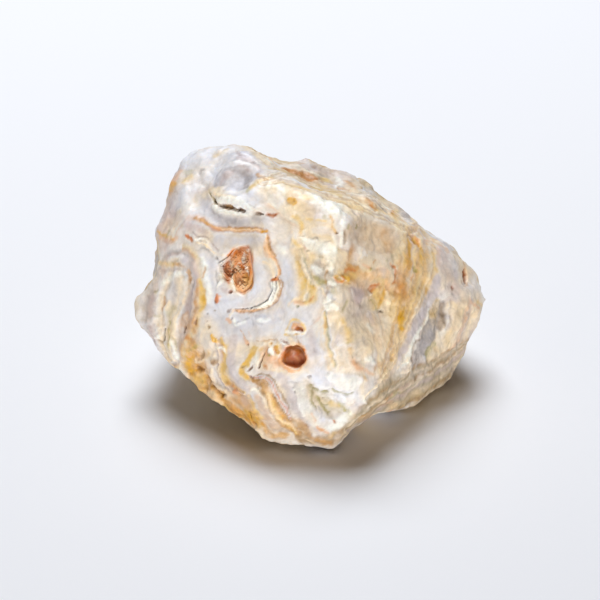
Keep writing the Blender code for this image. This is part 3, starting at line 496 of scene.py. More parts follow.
        ("cream", 0.7, 1.5, 0.1, "398 335 2, 396 345 2.5"),
    ],
    "right end": [
        ("lilac", 0.6, 2, 0, "455 262 2.5, 456 272 2.5, 457 290 3, 456 300 3"),
        ("tan", 0.6, 1.5, 0, "463 263 0.8, 465 270 1.8, 466 286 1.5"),
        ("brick", 0.9, 1.2, -0.4, "464.5 270 1, 464.5 277 1.8, 464 283 1"),
        ("brick", 0.8, 0.8, -0.3, "452.5 285 0.7, 454 289 1"),
        ("slate", 0.5, 0.9, -0.1, "454 292 0.7, 457 299 0.7"),
        ("sand", 0.5, 2, 0, "463 290 2, 464 303 2"),
        ("rind", 0.9, 2, 0, "438 303 4, 436 315 6, 441 325 5"),
        ("slate", 0.9, 2, -0.15, "443 303 3, 442 315 4.5, 439 328 4"),
        ("bark", 0.5, 1.5, 0, "443 304 2, 442 318 2.5, 440 330 2"),
        ("slate", 1, 1.8, -0.1, "431 322 4, 429 334 7, 425 343 6, 422 352 7, 419 362 8, 417 373 5"),
        ("mist", 0.5, 2, 0, "429 330 3, 427 338 3"),
        ("olive", 0.6, 1.5, 0, "434 345 3, 429 352 3, 427 360 1.5"),
        ("bark", 0.5, 0.9, -0.2, "421 338 0.7, 414 344 0.9, 413 354 0.9, 412 364 0.8"),
        ("bark", 0.4, 0.9, -0.15, "416 366 0.8, 415 374 0.8"),
        ("umber", 0.6, 0.8, -0.2, "418 361.5 0.8"),
        ("milk", 0.7, 1.2, 0.15, "424 358 1.5, 427 367 1.8, 423 375 1.5"),
        ("mist", 0.7, 1, 0.1, "449 300 0.8, 448 315 1, 445 330 1"),
        ("mauve", 0.6, 1, -0.1, "451 300 1, 450.5 316 1.2, 447 329 1"),
        ("honey", 0.4, 2.5, 0, "449 330 2, 446 345 3"),
        ("salmon", 0.7, 1.5, 0, "471 303 1.2, 478 307 1.5"),
        ("honey", 0.7, 1.5, 0, "478 302 2, 482 304 1.5"),
        ("mauve", 0.5, 2, 0, "479 320 1.5, 470 337 1.5, 462 352 1.5"),
        ("mauve", 0.3, 2, 0, "460 330 3, 466 328 2"),
        ("tan", 0.35, 2.5, 0, "465 338 2, 459 350 2"),
        ("honey", 0.4, 2, 0, "438 350 3, 440 356 2"),
        ("cream", 0.4, 2.5, 0, "446 342 3, 436 362 3, 430 374 2"),
    ],
    "left block": [
        ("gold", 0.7, 1.5, 0, "159 232 1, 163 235 1.5, 167 237 1.8, 174 240 1.2"),
        ("salmon", 0.6, 2, 0, "161 238 2, 170 241 2, 177 238 1.5"),
        ("olive", 0.5, 1.2, 0, "167 237 0.9, 169 231 0.8"),
        ("olive", 0.4, 1.5, 0, "183 225 1, 184 228 1"),
        ("olive", 0.35, 2, 0, "179 212 2"),
        ("rust", 0.9, 1, -0.1, "186 236 0.8, 188.5 237.5 2.2, 191 240.5 1.5"),
        ("lilac", 0.8, 2.5, 0, "184 260 2.5, 192 263 4, 195 271 3.5, 194 281 3, 191 292 2.8"),
        ("mauve", 0.8, 2, 0, "190 291 3.5, 189 302 4, 186 312 3"),
        ("honey", 0.7, 2, 0, "160 263 2, 168 264 2.5, 176 264 2"),
        ("tan", 0.7, 1.2, 0, "175 264 1.8, 181 265 1.8, 187 268.5 0.8"),
        ("mauve", 0.5, 1.5, -0.1, "160 271 2, 170 270 2, 180 269 1"),
        ("snow", 0.7, 1.8, 0.15, "162 284 1.5, 169 279 2.5, 178 274 3, 183 273 2"),
        ("milk", 0.8, 1.2, 0, "183 271 1.5, 186 276 1, 185 284 1"),
        ("tan", 0.8, 0.8, 0, "189 271 0.9, 189 277 1.1, 187.5 282 1.1, 187.3 286 0.7"),
        ("umber", 0.5, 0.7, -0.1, "188 280 0.6, 187.4 284 0.7"),
        ("mist", 0.5, 3, 0, "174 287 4, 170 300 5"),
        ("olive", 0.35, 3, 0, "172 308 3, 168 316 3"),
        ("tan", 0.5, 1.2, -0.1, "158 284 0.6, 159 289 0.9"),
        ("olive", 0.7, 1.2, -0.15, "159 289 0.9, 157 292 1.5, 155 292 0.8"),
        ("tan", 0.7, 1, -0.15, "166 296 0.7, 165.5 301 1.4, 163 308 1, 162 311 0.6"),
        ("cream", 0.8, 1.5, 0.1, "170 302 1.5, 167 309 1.5"),
        ("milk", 0.7, 2, 0.1, "156 317 1.5, 150 321 3, 147 324 1.5"),
        ("olive", 0.4, 1.2, 0, "154 315 1, 158 316 1.2"),
        ("cream", 0.7, 1.5, 0.1, "187 290 1, 184 302 1.2, 177 314 1.5, 174 328 2.5, 174 338 2"),
        ("tan", 0.5, 1.5, 0, "186 313 1, 181 320 1.2, 180 332 1"),
        ("tan", 0.7, 1.2, 0, "197 280 0.8, 196.5 292 1.2, 196 303 1.5, 193 311 2"),
        ("honey", 0.9, 1.5, 0, "199 279 1, 201 288 2, 203 297 3, 202.5 306 2.3, 200 310 1"),
        ("gold", 0.6, 1.5, 0, "203 292 1, 204 299 2, 202.5 306 1"),
        ("tan", 0.7, 0.9, 0, "205 267 0.7, 204 271 1, 203 276 0.7"),
        ("tan", 0.7, 2, 0.1, "184 318 3, 186 326 3, 193 322 4, 195 330 3"),
        ("mauve", 0.4, 1.5, 0, "191 320 2, 192 326 1.5"),
        ("umber", 0.7, 0.8, -0.2, "195.5 318 0.6, 195.5 324 0.9"),
        ("umber", 0.7, 0.8, -0.3, "184.5 327 0.6, 184.3 331.5 0.9"),
        ("olive", 0.6, 0.8, 0, "167.5 322 0.7, 168.5 333 0.8, 170 341 0.8, 171 349 0.8"),
        ("olive", 0.45, 0.8, 0, "173.5 337 0.6, 176.5 345 0.7, 177 356 0.6"),
        ("snow", 0.8, 1, 0.1, "172 340 0.9, 175 348 1, 178 358 1.5, 180 364 1.3"),
        ("cream", 0.7, 1, 0.1, "163 345 1.3, 169 352 1.5, 175 361 1"),
        ("snow", 0.8, 1.2, 0.2, "156 337 1.8, 159 335 1.2"),
        ("pit", 0.95, 0.8, -0.7, "163.8 331 0.8, 163.5 336 1.4, 163.8 340 0.7"),
        ("bark", 0.7, 0.9, -0.2, "158 340 0.6, 161 342 0.8, 164 346 0.5"),
        ("milk", 0.6, 1.5, 0, "201 320 2.5, 202 332 2.5"),
        ("cream", 0.6, 1.5, 0, "204 330 1.5, 203 340 1.5"),
        ("bark", 0.8, 0.9, -0.2, "207.5 322 0.9 / 209 326.5 1.4, 208.5 329 0.8"),
        ("slate", 0.7, 0.8, -0.2, "207 313.5 0.8"),
        ("bark", 0.6, 0.8, -0.1, "214 309 0.9"),
    ],
    "below the ring": [
        ("umber", 0.6, 0.9, -0.1, "227.5 312 1.5, 230 309 0.7"),
        ("cream", 0.7, 1, 0.1, "233 309 0.8, 232 313 1, 229 316 0.9"),
        ("slate", 0.6, 0.9, -0.2, "231.5 318 0.9, 231 320 0.7"),
        ("salmon", 0.7, 1, 0, "227 320 1.5, 230 323 1.5"),
        ("snow", 0.8, 1.5, 0.15, "234 320 1.2, 236 326 1.5, 243 322 2"),
        ("slate", 0.4, 1, -0.1, "235 324 0.8, 250 318 0.8, 253 323 0.8, 257 327 0.8"),
        ("slate", 0.35, 1, -0.1, "255 317 0.8, 257 322 0.8, 263 325 0.8"),
        ("snow", 0.7, 1.5, 0.15, "258 321 1.5, 264 321 2, 269 319 1"),
        ("mist", 0.5, 2, 0, "276 315 2, 272 325 2, 262 332 2"),
        ("sand", 0.5, 1.5, 0, "256 338 0.8, 266 337.5 0.8, 280 336 0.8"),
        ("tan", 0.5, 1, -0.1, "256 341 0.6, 262 341 0.8, 270 341 0.6"),
        ("tan", 0.8, 0.8, 0, "240 331 0.6, 244 336 0.7, 247 342 0.8"),
        ("salmon", 0.8, 1, 0.1, "243 337 0.8, 246.5 344 2.2"),
        ("umber", 0.7, 0.7, -0.2, "247.5 345 0.9"),
        ("salmon", 0.4, 1, 0, "248.5 332 0.6, 251 336 0.8"),
    ],
    "lower bands": [
        ("honey", 0.6, 1, 0, "221 342 1, 227 345 1.2, 230 351 1"),
        ("snow", 0.8, 1, 0.1, "217 347 0.9, 224 349 1.1, 226 354 0.9"),
        ("lilac", 0.6, 1.5, 0, "216 352 2, 219 359 2.5"),
        ("honey", 0.85, 1.5, 0, "225 355 1.5, 224 365 3, 224.5 375 3, 228 383 2.5"),
        ("tan", 0.6, 2, 0, "228 383 2.5, 234 387 3, 241 391 2"),
        ("lilac", 0.85, 1.5, 0, "233 338 4, 232 352 4.5, 230 362 5, 232 374 5, 238 382 5, 247 388 4"),
        ("mist", 0.9, 1.5, 0, "254 394 4, 260 403 4.5, 264 413 4.5, 272 423 3"),
        ("tan", 0.5, 1.8, 0, "257 397 3, 262 405 3.5, 267 414 4, 273 424 4, 285 432 4"),
        ("slate", 0.5, 2, 0, "274 430 2.5, 284 431 2.5, 288 432 1.5"),
        # Painted highlight: a small white glint on the lower bands.
        ("snow", 0.9, 1, 0.15, "250 389 1, 254 389 1.6, 257 391 0.9"),
        ("honey", 0.9, 1.2, 0, "262 348 2, 255 349.5 3, 250 357 2.8, 247 364 3, 242 370 4, 245 377 3.5"),
        ("gold", 0.7, 1.2, 0, "256 350 1.5, 250 356 1.8, 247 363 1.8, 242 369 2.5, 245 375 2.5, "
         "250 380 1.5, 257 380 0.9"),
        ("tan", 0.9, 1.2, 0, "252 381 1.5, 258 382 3, 264 384 4, 265 389 3.5"),
        ("bark", 0.5, 1.5, 0, "254 381 1.5, 259 382 3, 264 386 3.5, 265 391 3.5"),
        ("bark", 0.8, 1.2, -0.05, "258 388 1.5, 263 392 2.5, 265 395 1.5"),
        ("slate", 0.4, 2, 0, "283 388 3.5, 289 399 4.5, 294 408 4.5, 299 415 3, 306 421 2"),
        ("cream", 0.7, 0.8, 0.1, "269 396 0.8, 272 407 1.2, 277 417 1.5, 284 421 1.2, 291 424 1.4, "
         "297 431 1"),
        ("umber", 0.9, 0.7, -0.3, "242 368 0.8, 244.5 367 0.7 / 247 371.5 0.7, 250.5 369 0.8, "
         "252.5 365 0.6"),
        ("umber", 0.9, 0.7, -0.35, "258 367.5 0.7, 259.5 363 0.8, 263 357 0.7, 264.5 353.5 0.5"),
        ("brick", 0.8, 0.7, -0.3, "249 375.5 0.6, 252 378 0.9"),
        ("snow", 0.7, 1.5, 0.15, "263 345 2, 257 350 1, 256 361 2"),
        ("mauve", 0.7, 1, 0.1, "267 365 2.2, 267.5 368 1.5"),
        ("tan", 0.5, 0.8, 0, "266.5 366 0.9"),
        ("honey", 0.5, 1, 0, "270 369 0.7, 278 370 0.9, 284 369.5 0.7"),
        ("sand", 0.5, 1.5, 0, "275 362 2.5"),
        ("tan", 0.7, 1.5, -0.1, "292 419 1.5, 298 421 3, 303 427 4.5, 307 433 4"),
        ("bark", 0.6, 1.5, 0, "293 421 1.5, 299 425 4, 304 431 4, 300 436 3"),
        ("umber", 0.5, 0.8, 0, "295 416.5 0.5, 303 421.5 0.6, 309 428.5 0.6, 311.5 435 0.6"),
    ],
    "lower hollow": [
        ("peach", 0.9, 1, 0.15, "280 360 1.2, 283 353.5 1.2, 287 347 1.2, 295 344.5 1.2, 302 346.5 1.3, "
         "305 352 1.2, 308 359 1.2, 305 365 1.3, 298 370.5 1.3, 290 369.5 1.2, 284 366 1.1, 280 360 1.2"),
        ("salmon", 0.8, 0.8, 0, "281 363 0.8, 285 367 1, 291 370 1, 298 370 1, 304 366 0.9, 307 360 0.7"),
        ("rust", 1, 0.8, 0, "284.5 359.5 3.5, 288 357 8, 294 357 11, 299 357.5 9, 303 359 4.5"),
        ("brick", 0.5, 1.5, 0, "287 354 3, 294 352 5, 301 354 3"),
        # Painted shade: the hollow's upper inner wall darkened.
        ("umber", 0.75, 1.2, -0.1, "288 350.5 1.5, 293 348.5 2, 299 348.5 2.2, 303 353 1.8"),
        ("rose", 0.95, 1.2, 0.1, "290 360 3.5, 295 359 5.5, 300 360.5 4"),
        # Painted light: the hollow's lower wall lightened.
        ("ember", 0.6, 1.5, 0, "285.5 361 1.5, 290 365.5 1.2, 297 366.5 1.2"),
        ("brick", 0.6, 0.8, -0.1, "293 361 0.7, 294 364 0.8"),
        ("brick", 0.5, 0.8, -0.1, "299 355 0.7"),
        ("peach", 0.5, 1, 0, "296 357 1.5, 300 361 1"),
    ],
    "small hollow": [
        ("honey", 0.9, 1, 0.1, "286 331 0.9, 289 324 1.2, 295 320 1.2, 302 323 1.2, 305 330 1"),
        ("tan", 0.7, 1.5, 0, "293 329 3, 298 326 3.5, 301 329 3"),
        ("salmon", 0.9, 1, 0.1, "292 328 1.5, 294 324.5 1.5, 300 324 1.5"),
        ("rust", 0.95, 0.8, -0.2, "297 328.5 2.4, 300 329 2"),
        ("brick", 0.8, 0.7, -0.1, "298 326.5 1, 301 330 0.8"),
        ("snow", 0.8, 0.8, 0.15, "287 332.5 1.3, 292 332.5 1.2, 297 333.5 0.7, 304 332.5 0.6"),
        ("honey", 0.8, 0.8, 0, "285 335 0.8, 290 336 0.8, 296 335.5 0.8, 304 333.5 0.6"),
        ("cream", 0.8, 1.5, 0.1, "290 339 2, 293 344 2.5"),
        ("tan", 0.7, 0.8, -0.1, "295.5 335 0.6, 297 340 0.8, 300 345 0.6"),
    ],
    "nodules": [
        ("peach", 0.6, 3, 0, "264 350 5, 268 360 6, 277 361 5, 286 367 2"),
        ("rose", 0.3, 3, 0, "268 352 4, 275 361 5, 284 367 2"),
        ("cream", 0.9, 1, 0.15, "271 345 3, 277 350 4.5, 276 355 3"),
        ("honey", 0.6, 1.2, 0, "278 343 2, 281 349 1.5"),
        ("tan", 0.7, 0.8, -0.1, "269 339.5 0.7, 275 340 0.9, 280 342 0.7"),
        ("salmon", 0.8, 0.8, 0.05, "268 349 1.2, 266 353 1, 268 355 0.8, 274 357.5 1, 280 359 1.2"),
        ("rust", 0.7, 0.7, -0.1, "268 350 0.9"),
        ("ochre", 0.95, 0.7, 0, "271.8 344.5 1.7 / 276.5 348.5 2.8, 278 352.5 2.5"),
        ("peach", 0.9, 0.7, 0.1, "281.5 345 0.8, 282 350 0.9, 280.5 356 0.9"),
        ("rust", 0.7, 0.7, -0.1, "275 349 0.8, 276 353.5 0.9"),
        ("umber", 0.4, 0.7, -0.1, "272 344 0.8"),
        ("snow", 0.95, 0.7, 0.3, "270.5 350.5 2, 273.5 354 1.8"),
        ("olive", 0.8, 0.7, -0.1, "271 356 1.2"),
        ("brick", 0.85, 0.7, -0.2, "280.5 340 0.6, 285 342 1, 289 345.5 0.7"),
        ("mauve", 0.6, 1, 0, "283 346 1.5, 285 350 1.2"),
        ("snow", 0.7, 0.8, 0.1, "283 343.5 0.8, 287 346 0.6"),
        ("tan", 0.8, 0.9, 0.1, "266.5 366.5 3"),
        ("rust", 0.6, 0.7, -0.1, "266 366 1.2, 268 365 0.8"),
        ("salmon", 0.7, 0.7, 0, "271 363 0.6, 273 366 0.8, 277 368 0.7"),
    ],
    "chalky block": [
        ("chalk", 0.45, 2.5, 0.1, "300 387 6, 304 396 6, 308 407 6"),
        ("sand", 0.6, 3, -0.1, "308 381 3, 314 393 5, 322 404 7, 334 412 7"),
        ("olive", 0.25, 3, 0, "311 386 2, 316 396 3, 328 406 5, 338 410 5"),
        ("snow", 0.55, 1, 0.15, "288 382 0.8, 292 385 1, 296 392 1, 299 403 1, 305 416 0.8"),
        ("slate", 0.7, 0.8, -0.3, "309.5 377 1.2, 311 376.5 0.8 / 326.5 373.5 0.9, "
         "328 373 0.6 / 293.5 388 1"),
        ("slate", 0.8, 0.8, -0.4, "295.7 393 1"),
        ("slate", 0.35, 0.9, -0.3, "287 383 0.5, 296 383 0.6, 305 382 0.5"),
        ("olive", 0.7, 0.9, -0.35, "311 385 0.8, 313 393 1, 312 401 0.9, 315 407 0.8"),
        ("olive", 0.8, 0.9, -0.35, "313 388 0.9, 319 390 1.1, 327 391 1"),
        ("olive", 0.6, 0.9, -0.35, "317 394 0.8, 321 403 1, 327 405 0.8"),
        ("milk", 0.6, 0.9, 0.2, "315 385 1, 323 387 1.2, 330 386 0.8 / 317 402 0.9, 321 409 1, 328 416 1"),
        ("milk", 0.8, 0.9, 0.2, "322 394 1, 332 397 1.5, 342 401 1.5, 352 402 1.5"),
        ("umber", 0.5, 0.8, -0.3, "322.7 396.5 0.9"),
        ("slate", 0.5, 1, -0.3, "318 406 0.8, 322 412 0.7, 321 417 0.6"),
        ("olive", 0.5, 1, 0, "320 392 1, 329 397 1"),
        ("milk", 0.9, 1.5, 0.15, "329 376 4, 337 379 7, 346 382 9.5, 353 382 8, 357 380 5"),
        ("snow", 0.45, 2, 0, "330 377 3, 338 380 5, 346 383 7, 354 382 5"),
        ("olive", 0.6, 0.9, -0.3, "331 388 0.7, 338 391.5 0.7, 347 395 0.8, 353 392 0.8"),
        ("milk", 0.8, 1.5, 0.15, "342 398 2.5, 350 402 4, 358 398 4, 362 405 4, 352 412 3"),
        ("mauve", 0.35, 2, 0, "356 406 5"),
        ("cream", 0.35, 2, 0, "350 401 5"),
        ("snow", 0.8, 0.9, 0.15, "363 395 0.9, 366 402 1, 367 408 1, 358 415 1, 350 419 1"),
        ("honey", 0.5, 1.5, 0, "331 404 3, 337 406 3"),
        ("olive", 0.8, 1, 0, "343 407.5 1, 344.5 409.5 1.5"),
        ("snow", 0.8, 1.5, 0.1, "352 414 3, 344 419 4.5, 335 426 4.5, 327 431 3"),
        ("snow", 0.4, 2.5, 0.1, "301 388 3.5, 303 400 5, 308 412 6, 316 423 5"),
        ("drab", 0.5, 2, -0.2, "310 384 1.5, 314 394 2.5, 320 404 3, 328 414 2.5, 334 421 1.5"),
        ("olive", 0.6, 1, -0.2, "316 395 0.9, 321 405 1.1, 329 414 0.9"),
        ("olive", 0.5, 1.8, 0, "339 403 1.5, 344 408 2.5, 350 411 1.5"),
        ("rust", 0.8, 0.7, -0.2, "334 422.5 1.1"),
        ("salmon", 0.6, 1.2, 0, "312 414 1.2, 315.5 420 1.6"),
        ("rust", 0.3, 1, 0, "315.5 420 0.8"),
        ("salmon", 0.9, 1.2, 0, "318 426 1.2, 322 430 1.8, 328 433 1.5"),
        ("salmon", 0.4, 2, 0, "331 358 2.5"),
        ("honey", 0.3, 3, 0, "325 345 3, 330 356 4, 327 368 3"),
        ("lilac", 0.7, 1.5, 0, "315 428 1.5, 320 434 1.5"),
        ("rind", 0.8, 1.5, 0, "331 436 2, 335 433 1.5"),
    ],
    "ochre crust": [
        ("ochre", 0.35, 4, 0, "187 362 7, 199 377 9, 216 396 7, 236 412 8, 252 424 6"),
        ("bark", 0.4, 1.2, -0.12, "200 378 1.2, 206 386 1.4, 213 393 1.2 / 228 406 1.2, 236 413 1.4, "
         "246 420 1.2"),
        ("cream", 0.5, 1.2, 0.12, "206 390 1, 222 406 1.4, 238 420 1.4, 252 430 1.2"),
        ("gold", 0.8, 3, 0, "190 358 4, 187 368 4, 193 372 3"),
        ("gold", 0.6, 2, 0, "208 355 2.5, 210 350 2"),
        ("honey", 0.6, 2.5, 0.2, "200 377 4, 203 383 3, 194 379 3"),
        ("tan", 0.6, 1.5, 0.1, "189 337 2, 194 341 2.5"),
        ("rust", 0.4, 1.2, 0, "187 336 1, 193 338 1"),
        ("olive", 0.5, 1.5, 0, "200 344 1.5, 190 350 1"),
        ("cream", 0.8, 1.2, 0.25, "196 358 1.2, 196.5 362 1.5, 204 359 1.2"),
        ("salmon", 0.7, 1.2, 0.15, "190 355 1.8"),
        ("bark", 0.8, 1.2, -0.2, "203 351 0.9, 202 356 1.8"),
        ("umber", 0.7, 1, -0.3, "197 367 0.9, 200 371 1.3, 204 370 0.7"),
        ("ochre", 0.6, 1, -0.2, "189 375 1, 193 373 0.8"),
        ("rust", 0.6, 1.2, 0, "184 377 1.5, 186 380 0.8"),
        ("umber", 0.8, 0.8, -0.3, "190 381.5 0.9, 194 384.5 0.7"),
        ("umber", 0.8, 0.8, -0.4, "207.5 376 0.7, 209 380 0.8, 210.5 383 0.5"),
        ("gold", 0.9, 1.2, 0.2, "213 335 2, 215 338 2.2, 219 342 1.2"),
        ("cream", 0.8, 1.2, 0.2, "215 351 0.9, 215 355 1.2"),
        ("bark", 0.8, 1.2, 0.2, "214 361 2.5, 213 365 1.5, 217 361 1.5"),
        ("umber", 0.5, 0.8, -0.1, "211.5 364 0.8, 216 360 0.7"),
        ("cream", 0.85, 1, 0.2, "211 371 1.2, 213 379 1.5, 218 386 1.4, 226 391 1.2"),
        ("mauve", 0.7, 0.8, -0.1, "213 367 0.7, 218 376 0.9, 223 384 0.8, 230 389 0.6"),
        ("cream", 0.7, 0.8, 0.1, "216 368 0.7, 220 378 0.8, 227 386 0.8"),
        ("umber", 0.85, 1, -0.5, "213 385.5 0.9, 217 391 1.3, 221 396 1.6, 226 395 1"),
        ("brick", 0.5, 1, -0.2, "219 391 1.2"),
        ("rust", 0.8, 1, 0.1, "232.5 386.5 1"),
        ("rust", 0.8, 1, 0.15, "235 391 1.6, 237 393.5 1.6"),
        ("cream", 0.7, 1.2, 0.2, "211 391 1.8, 218 400 1.2, 222 403 1.8"),
        ("honey", 0.7, 1.5, 0, "224 406 2, 231 413 2"),
        ("tan", 0.6, 2, 0, "228 402 4, 238 408 4"),
        ("sand", 0.8, 1.5, 0.1, "228 396 4, 238 400 5, 246 410 4"),
        ("tan", 0.6, 1.5, 0, "232 398 2, 243 404 2.5, 250 414 2"),
        ("ochre", 0.5, 1.8, 0, "248 396 1.5, 253 404 2.5, 258 414 3, 264 423 3"),
        ("gold", 0.6, 2, 0, "246 412 3, 254 418 4, 260 426 3"),
        ("tan", 0.7, 2, 0, "236 396 3, 244 399 4, 249 406 3"),
        ("mauve", 0.4, 1.5, 0, "244 398 3, 247 404 2"),
        ("honey", 0.6, 1.5, 0, "252 400 1.5, 256 408 1.8, 262 416 2"),
        ("umber", 0.7, 0.8, -0.3, "249 412 0.6, 250.5 418 0.7"),
        ("brick", 0.6, 0.9, -0.2, "251 423 0.8, 254 425 1"),
        ("brick", 0.4, 0.9, -0.2, "238 416 0.8, 232 408 0.6"),
        ("ochre", 0.7, 1.8, 0, "263 424 2, 267 431 3, 276 436 3.5, 286 437 3"),
        ("cream", 0.8, 1, 0.2, "256 430 1.5, 261 432 1, 264 437 1.2, 268 440 1"),
        ("mauve", 0.6, 2, 0, "190 390 2, 200 394 2, 207 395 2"),
        ("honey", 0.6, 1, 0.1, "200 388 1, 206 390 1"),
    ],
    "lower right rind": [
        ("tan", 0.6, 2, 0, "312 438 2, 322 441 3, 330 443 2"),
        ("cream", 0.7, 0.7, 0.2, "306 440 0.5, 314 443 0.7, 322 446 0.6"),
        ("cream", 0.5, 1.2, 0, "345 432 1.5, 340 438 1.5, 336 444 1.5"),
        ("tan", 0.4, 2, 0, "360 420 3, 368 415 3"),
        ("cream", 0.75, 0.9, 0.2, "364 398 0.8, 374 387 0.9, 386 372 0.9, 394 358 0.7"),
        ("cream", 0.6, 0.8, 0.15, "369 392 0.7, 379 382 0.8, 390 368 0.7 / 373 382.5 0.6, 380 380 0.7, "
         "387 378 0.6"),
        ("cream", 0.6, 0.9, 0.15, "398 369 0.7, 405 362 0.8, 409 358 0.5 / 401 373 0.7, 408 368 0.7"),
        ("rust", 0.6, 1, 0, "384 404 0.7, 388 399 1, 391.5 394.5 1"),
        ("olive", 0.4, 1.5, 0, "386 404 1.5, 397 393 1.5"),
        ("mauve", 0.5, 2, 0, "402 388 2.5, 408 384 2"),
        ("rind", 0.5, 2, 0, "392 408 3, 405 400 3, 418 392 3"),
        ("cream", 0.4, 1.5, 0.1, "405 395 0.9, 415 386 1, 425 378 0.9"),
        ("salmon", 0.4, 1.5, 0, "378 406 1.5, 393 403 1.5"),
    ],
}

# Stripes side by side along a trail, from its left to its right: strength, softness, the trail, and each
# stripe's tone, width and rise. They lie under the marks of the same name.
STRIPES = {
    "right face": [
        (0.5, 4, "419 238 18, 420 262 20, 416 285 18, 409 305 15, 401 330 11, 393 352 8, 384 374 6",
         [("salmon", 1.5, 0), ("honey", 2, 0.05), ("gold", 2, 0), ("cream", 1, 0.1), ("gold", 3, 0),
          ("tan", 1, -0.1), ("honey", 2.5, 0.05), ("ochre", 2, -0.1), ("tan", 2, 0), ("honey", 1, 0.1),
          ("mauve", 1.5, 0), ("ochre", 2.5, -0.1), ("tan", 2, 0), ("gold", 1.5, 0.1), ("cream", 1.5, 0)]),
    ],
    "ring ledge": [
        (0.9, 1.2, "202 220 2.5, 214 227.5 3.2, 228 229 4, 246 230 4, 264 231.5 3.2",
         [("mauve", 1.2, -0.05), ("tan", 1.2, 0.02), ("cream", 1.6, 0.1), ("tan", 1.3, 0.05),
          ("lilac", 1.5, 0), ("milk", 0.8, 0)]),
        (0.9, 1.5, "267 236 2.5, 268 247 4.5, 271 256 3.5, 276 262 2.5, 278.5 270 2.5, 277 278 2",
         [("mist", 1, 0), ("mauve", 0.8, 0), ("tan", 0.9, -0.15), ("peach", 1.2, 0.1), ("cream", 2, 0.12),
          ("milk", 1, 0.05)]),
        (0.95, 1.2, "276 280 5.5, 276.5 288 6.5, 274 297 6.5, 267 304.5 5.5, 257 308.5 4, 245 311 3, "
         "233 310.5 2.5",
         [("mist", 1, 0), ("mauve", 0.9, -0.05), ("milk", 0.8, 0.1), ("tan", 0.9, -0.2),
          ("cream", 0.8, 0.05), ("snow", 1.4, 0.15), ("slate", 0.7, -0.2), ("snow", 2.5, 0.35),
          ("slate", 1, -0.25), ("milk", 1.2, 0)]),
    ],
    "top": [
        (0.4, 3, "262 180 6, 285 177 9, 310 184 11, 335 194 11, 358 202 10, 385 213 11, 410 228 8",
         [("cream", 1.5, 0), ("slate", 0.8, -0.15), ("snow", 0.8, 0.15), ("mauve", 1, -0.1),
          ("cream", 1.2, 0.1), ("tan", 1.2, -0.1), ("cream", 1, 0.05), ("snow", 1.5, 0.2),
          ("tan", 0.5, -0.2), ("cream", 1.5, 0.05), ("honey", 1, 0), ("tan", 0.5, -0.15),
          ("snow", 1.5, 0.2)]),
    ],
    "left block": [
        (0.7, 4, "178 265 21, 175 283 28, 171 302 32, 167 320 30, 166 338 23, 170 356 15",
         [("honey", 4.5, 0.05), ("tan", 3, 0.08), ("lilac", 9, -0.28), ("milk", 3, 0.15),
          ("cream", 7, 0.18), ("sand", 2, 0.02), ("milk", 5, 0.12), ("sand", 2, -0.08), ("cream", 3, 0),
          ("milk", 4, 0.12), ("mauve", 6, -0.12), ("slate", 1, -0.08), ("milk", 8, 0.08)]),
    ],
    "right of the ring": [
        (0.6, 3, "300 252 7, 303 266 9, 306 282 11, 304 298 9",
         [("cream", 1, 0.2), ("honey", 2, 0), ("olive", 0.8, -0.15), ("cream", 1, 0.15),
          ("honey", 2.5, 0.05), ("gold", 1.2, 0), ("honey", 2, 0), ("cream", 1, 0.1)]),
        (0.6, 2.5, "325 312 5, 326 330 6, 330 350 7, 334 366 7",
         [("cream", 1, 0.1), ("milk", 2, 0.1), ("olive", 0.8, -0.15), ("honey", 1.4, 0), ("milk", 2, 0.1),
          ("cream", 1, 0)]),
    ],
    "lower bands": [
        (0.85, 1.5, "221 340 5, 224 356 7, 224 372 7, 232 385 6, 243 392 4",
         [("lilac", 1.5, 0), ("honey", 1.2, 0.05), ("gold", 2.2, 0), ("tan", 0.8, -0.1), ("mauve", 1.6, 0),
          ("cream", 0.8, 0.15), ("mauve", 1, -0.1)]),
        (0.9, 1.2, "263 384 3, 268.5 391 4, 272 400 5, 276.5 410 5.5, 281 418 6, 286 423 5.5, 292 428 5, "
         "298 435 4",
         [("tan", 1.6, 0), ("ochre", 1.6, 0), ("honey", 1.2, 0.1), ("ochre", 1.8, 0), ("bark", 0.8, 0)]),
        (0.95, 0.9, "254 378 2, 262 377 3.5, 268 379 4, 273.5 386 4, 278 396 4, 282.5 404 4, 287 411 3.5, "
         "291 418 2.5",
         [("bark", 1.8, -0.04), ("mist", 1.3, 0.03), ("rose", 1.3, -0.02), ("mist", 1.2, 0.03),
          ("bark", 1.8, -0.04)]),
    ],
    "right end": [
        (0.6, 3, "470 300 10, 466 320 12, 455 345 12, 440 362 10",
         [("sand", 3, 0), ("cream", 2, 0.05), ("mauve", 1, -0.05), ("salmon", 2, 0), ("cream", 3, 0.1),
          ("sand", 2, 0)]),
    ],
    "lower right rind": [
        (0.9, 3, "466 346 7, 446 364 11, 422 380 14, 396 396 13, 374 410 11, 348 430 7",
         [("bark", 2, 0), ("drab", 2, 0.03), ("sand", 1.5, 0), ("drab", 2, 0.03), ("mauve", 2, -0.03),
          ("drab", 1.5, 0), ("sand", 1.5, 0.03), ("bark", 1.5, 0), ("drab", 2, 0.03), ("sand", 1.2, 0.03),
          ("drab", 2, -0.03), ("bark", 1.5, 0)]),
    ],
}

# Where no mark lies, the stone shows bands round these middles, in millimetres, in this order of tones.
BAND_MIDDLES = [(-12.0, -10.0, 26.0), (12.0, 12.0, 20.0), (-14.0, 16.0, 12.0),
                (22.0, -4.0, 14.0), (2.0, 20.0, 34.0)]
BAND_ORDER = [("milk", 2.0), ("mist", 1.2), ("milk", 1.0), ("salmon", 0.5), ("snow", 0.9), ("cream", 1.6),
              ("honey", 0.8), ("mauve", 1.1), ("milk", 1.6), ("lilac", 1.2), ("cream", 1.1), ("sand", 1.5)]
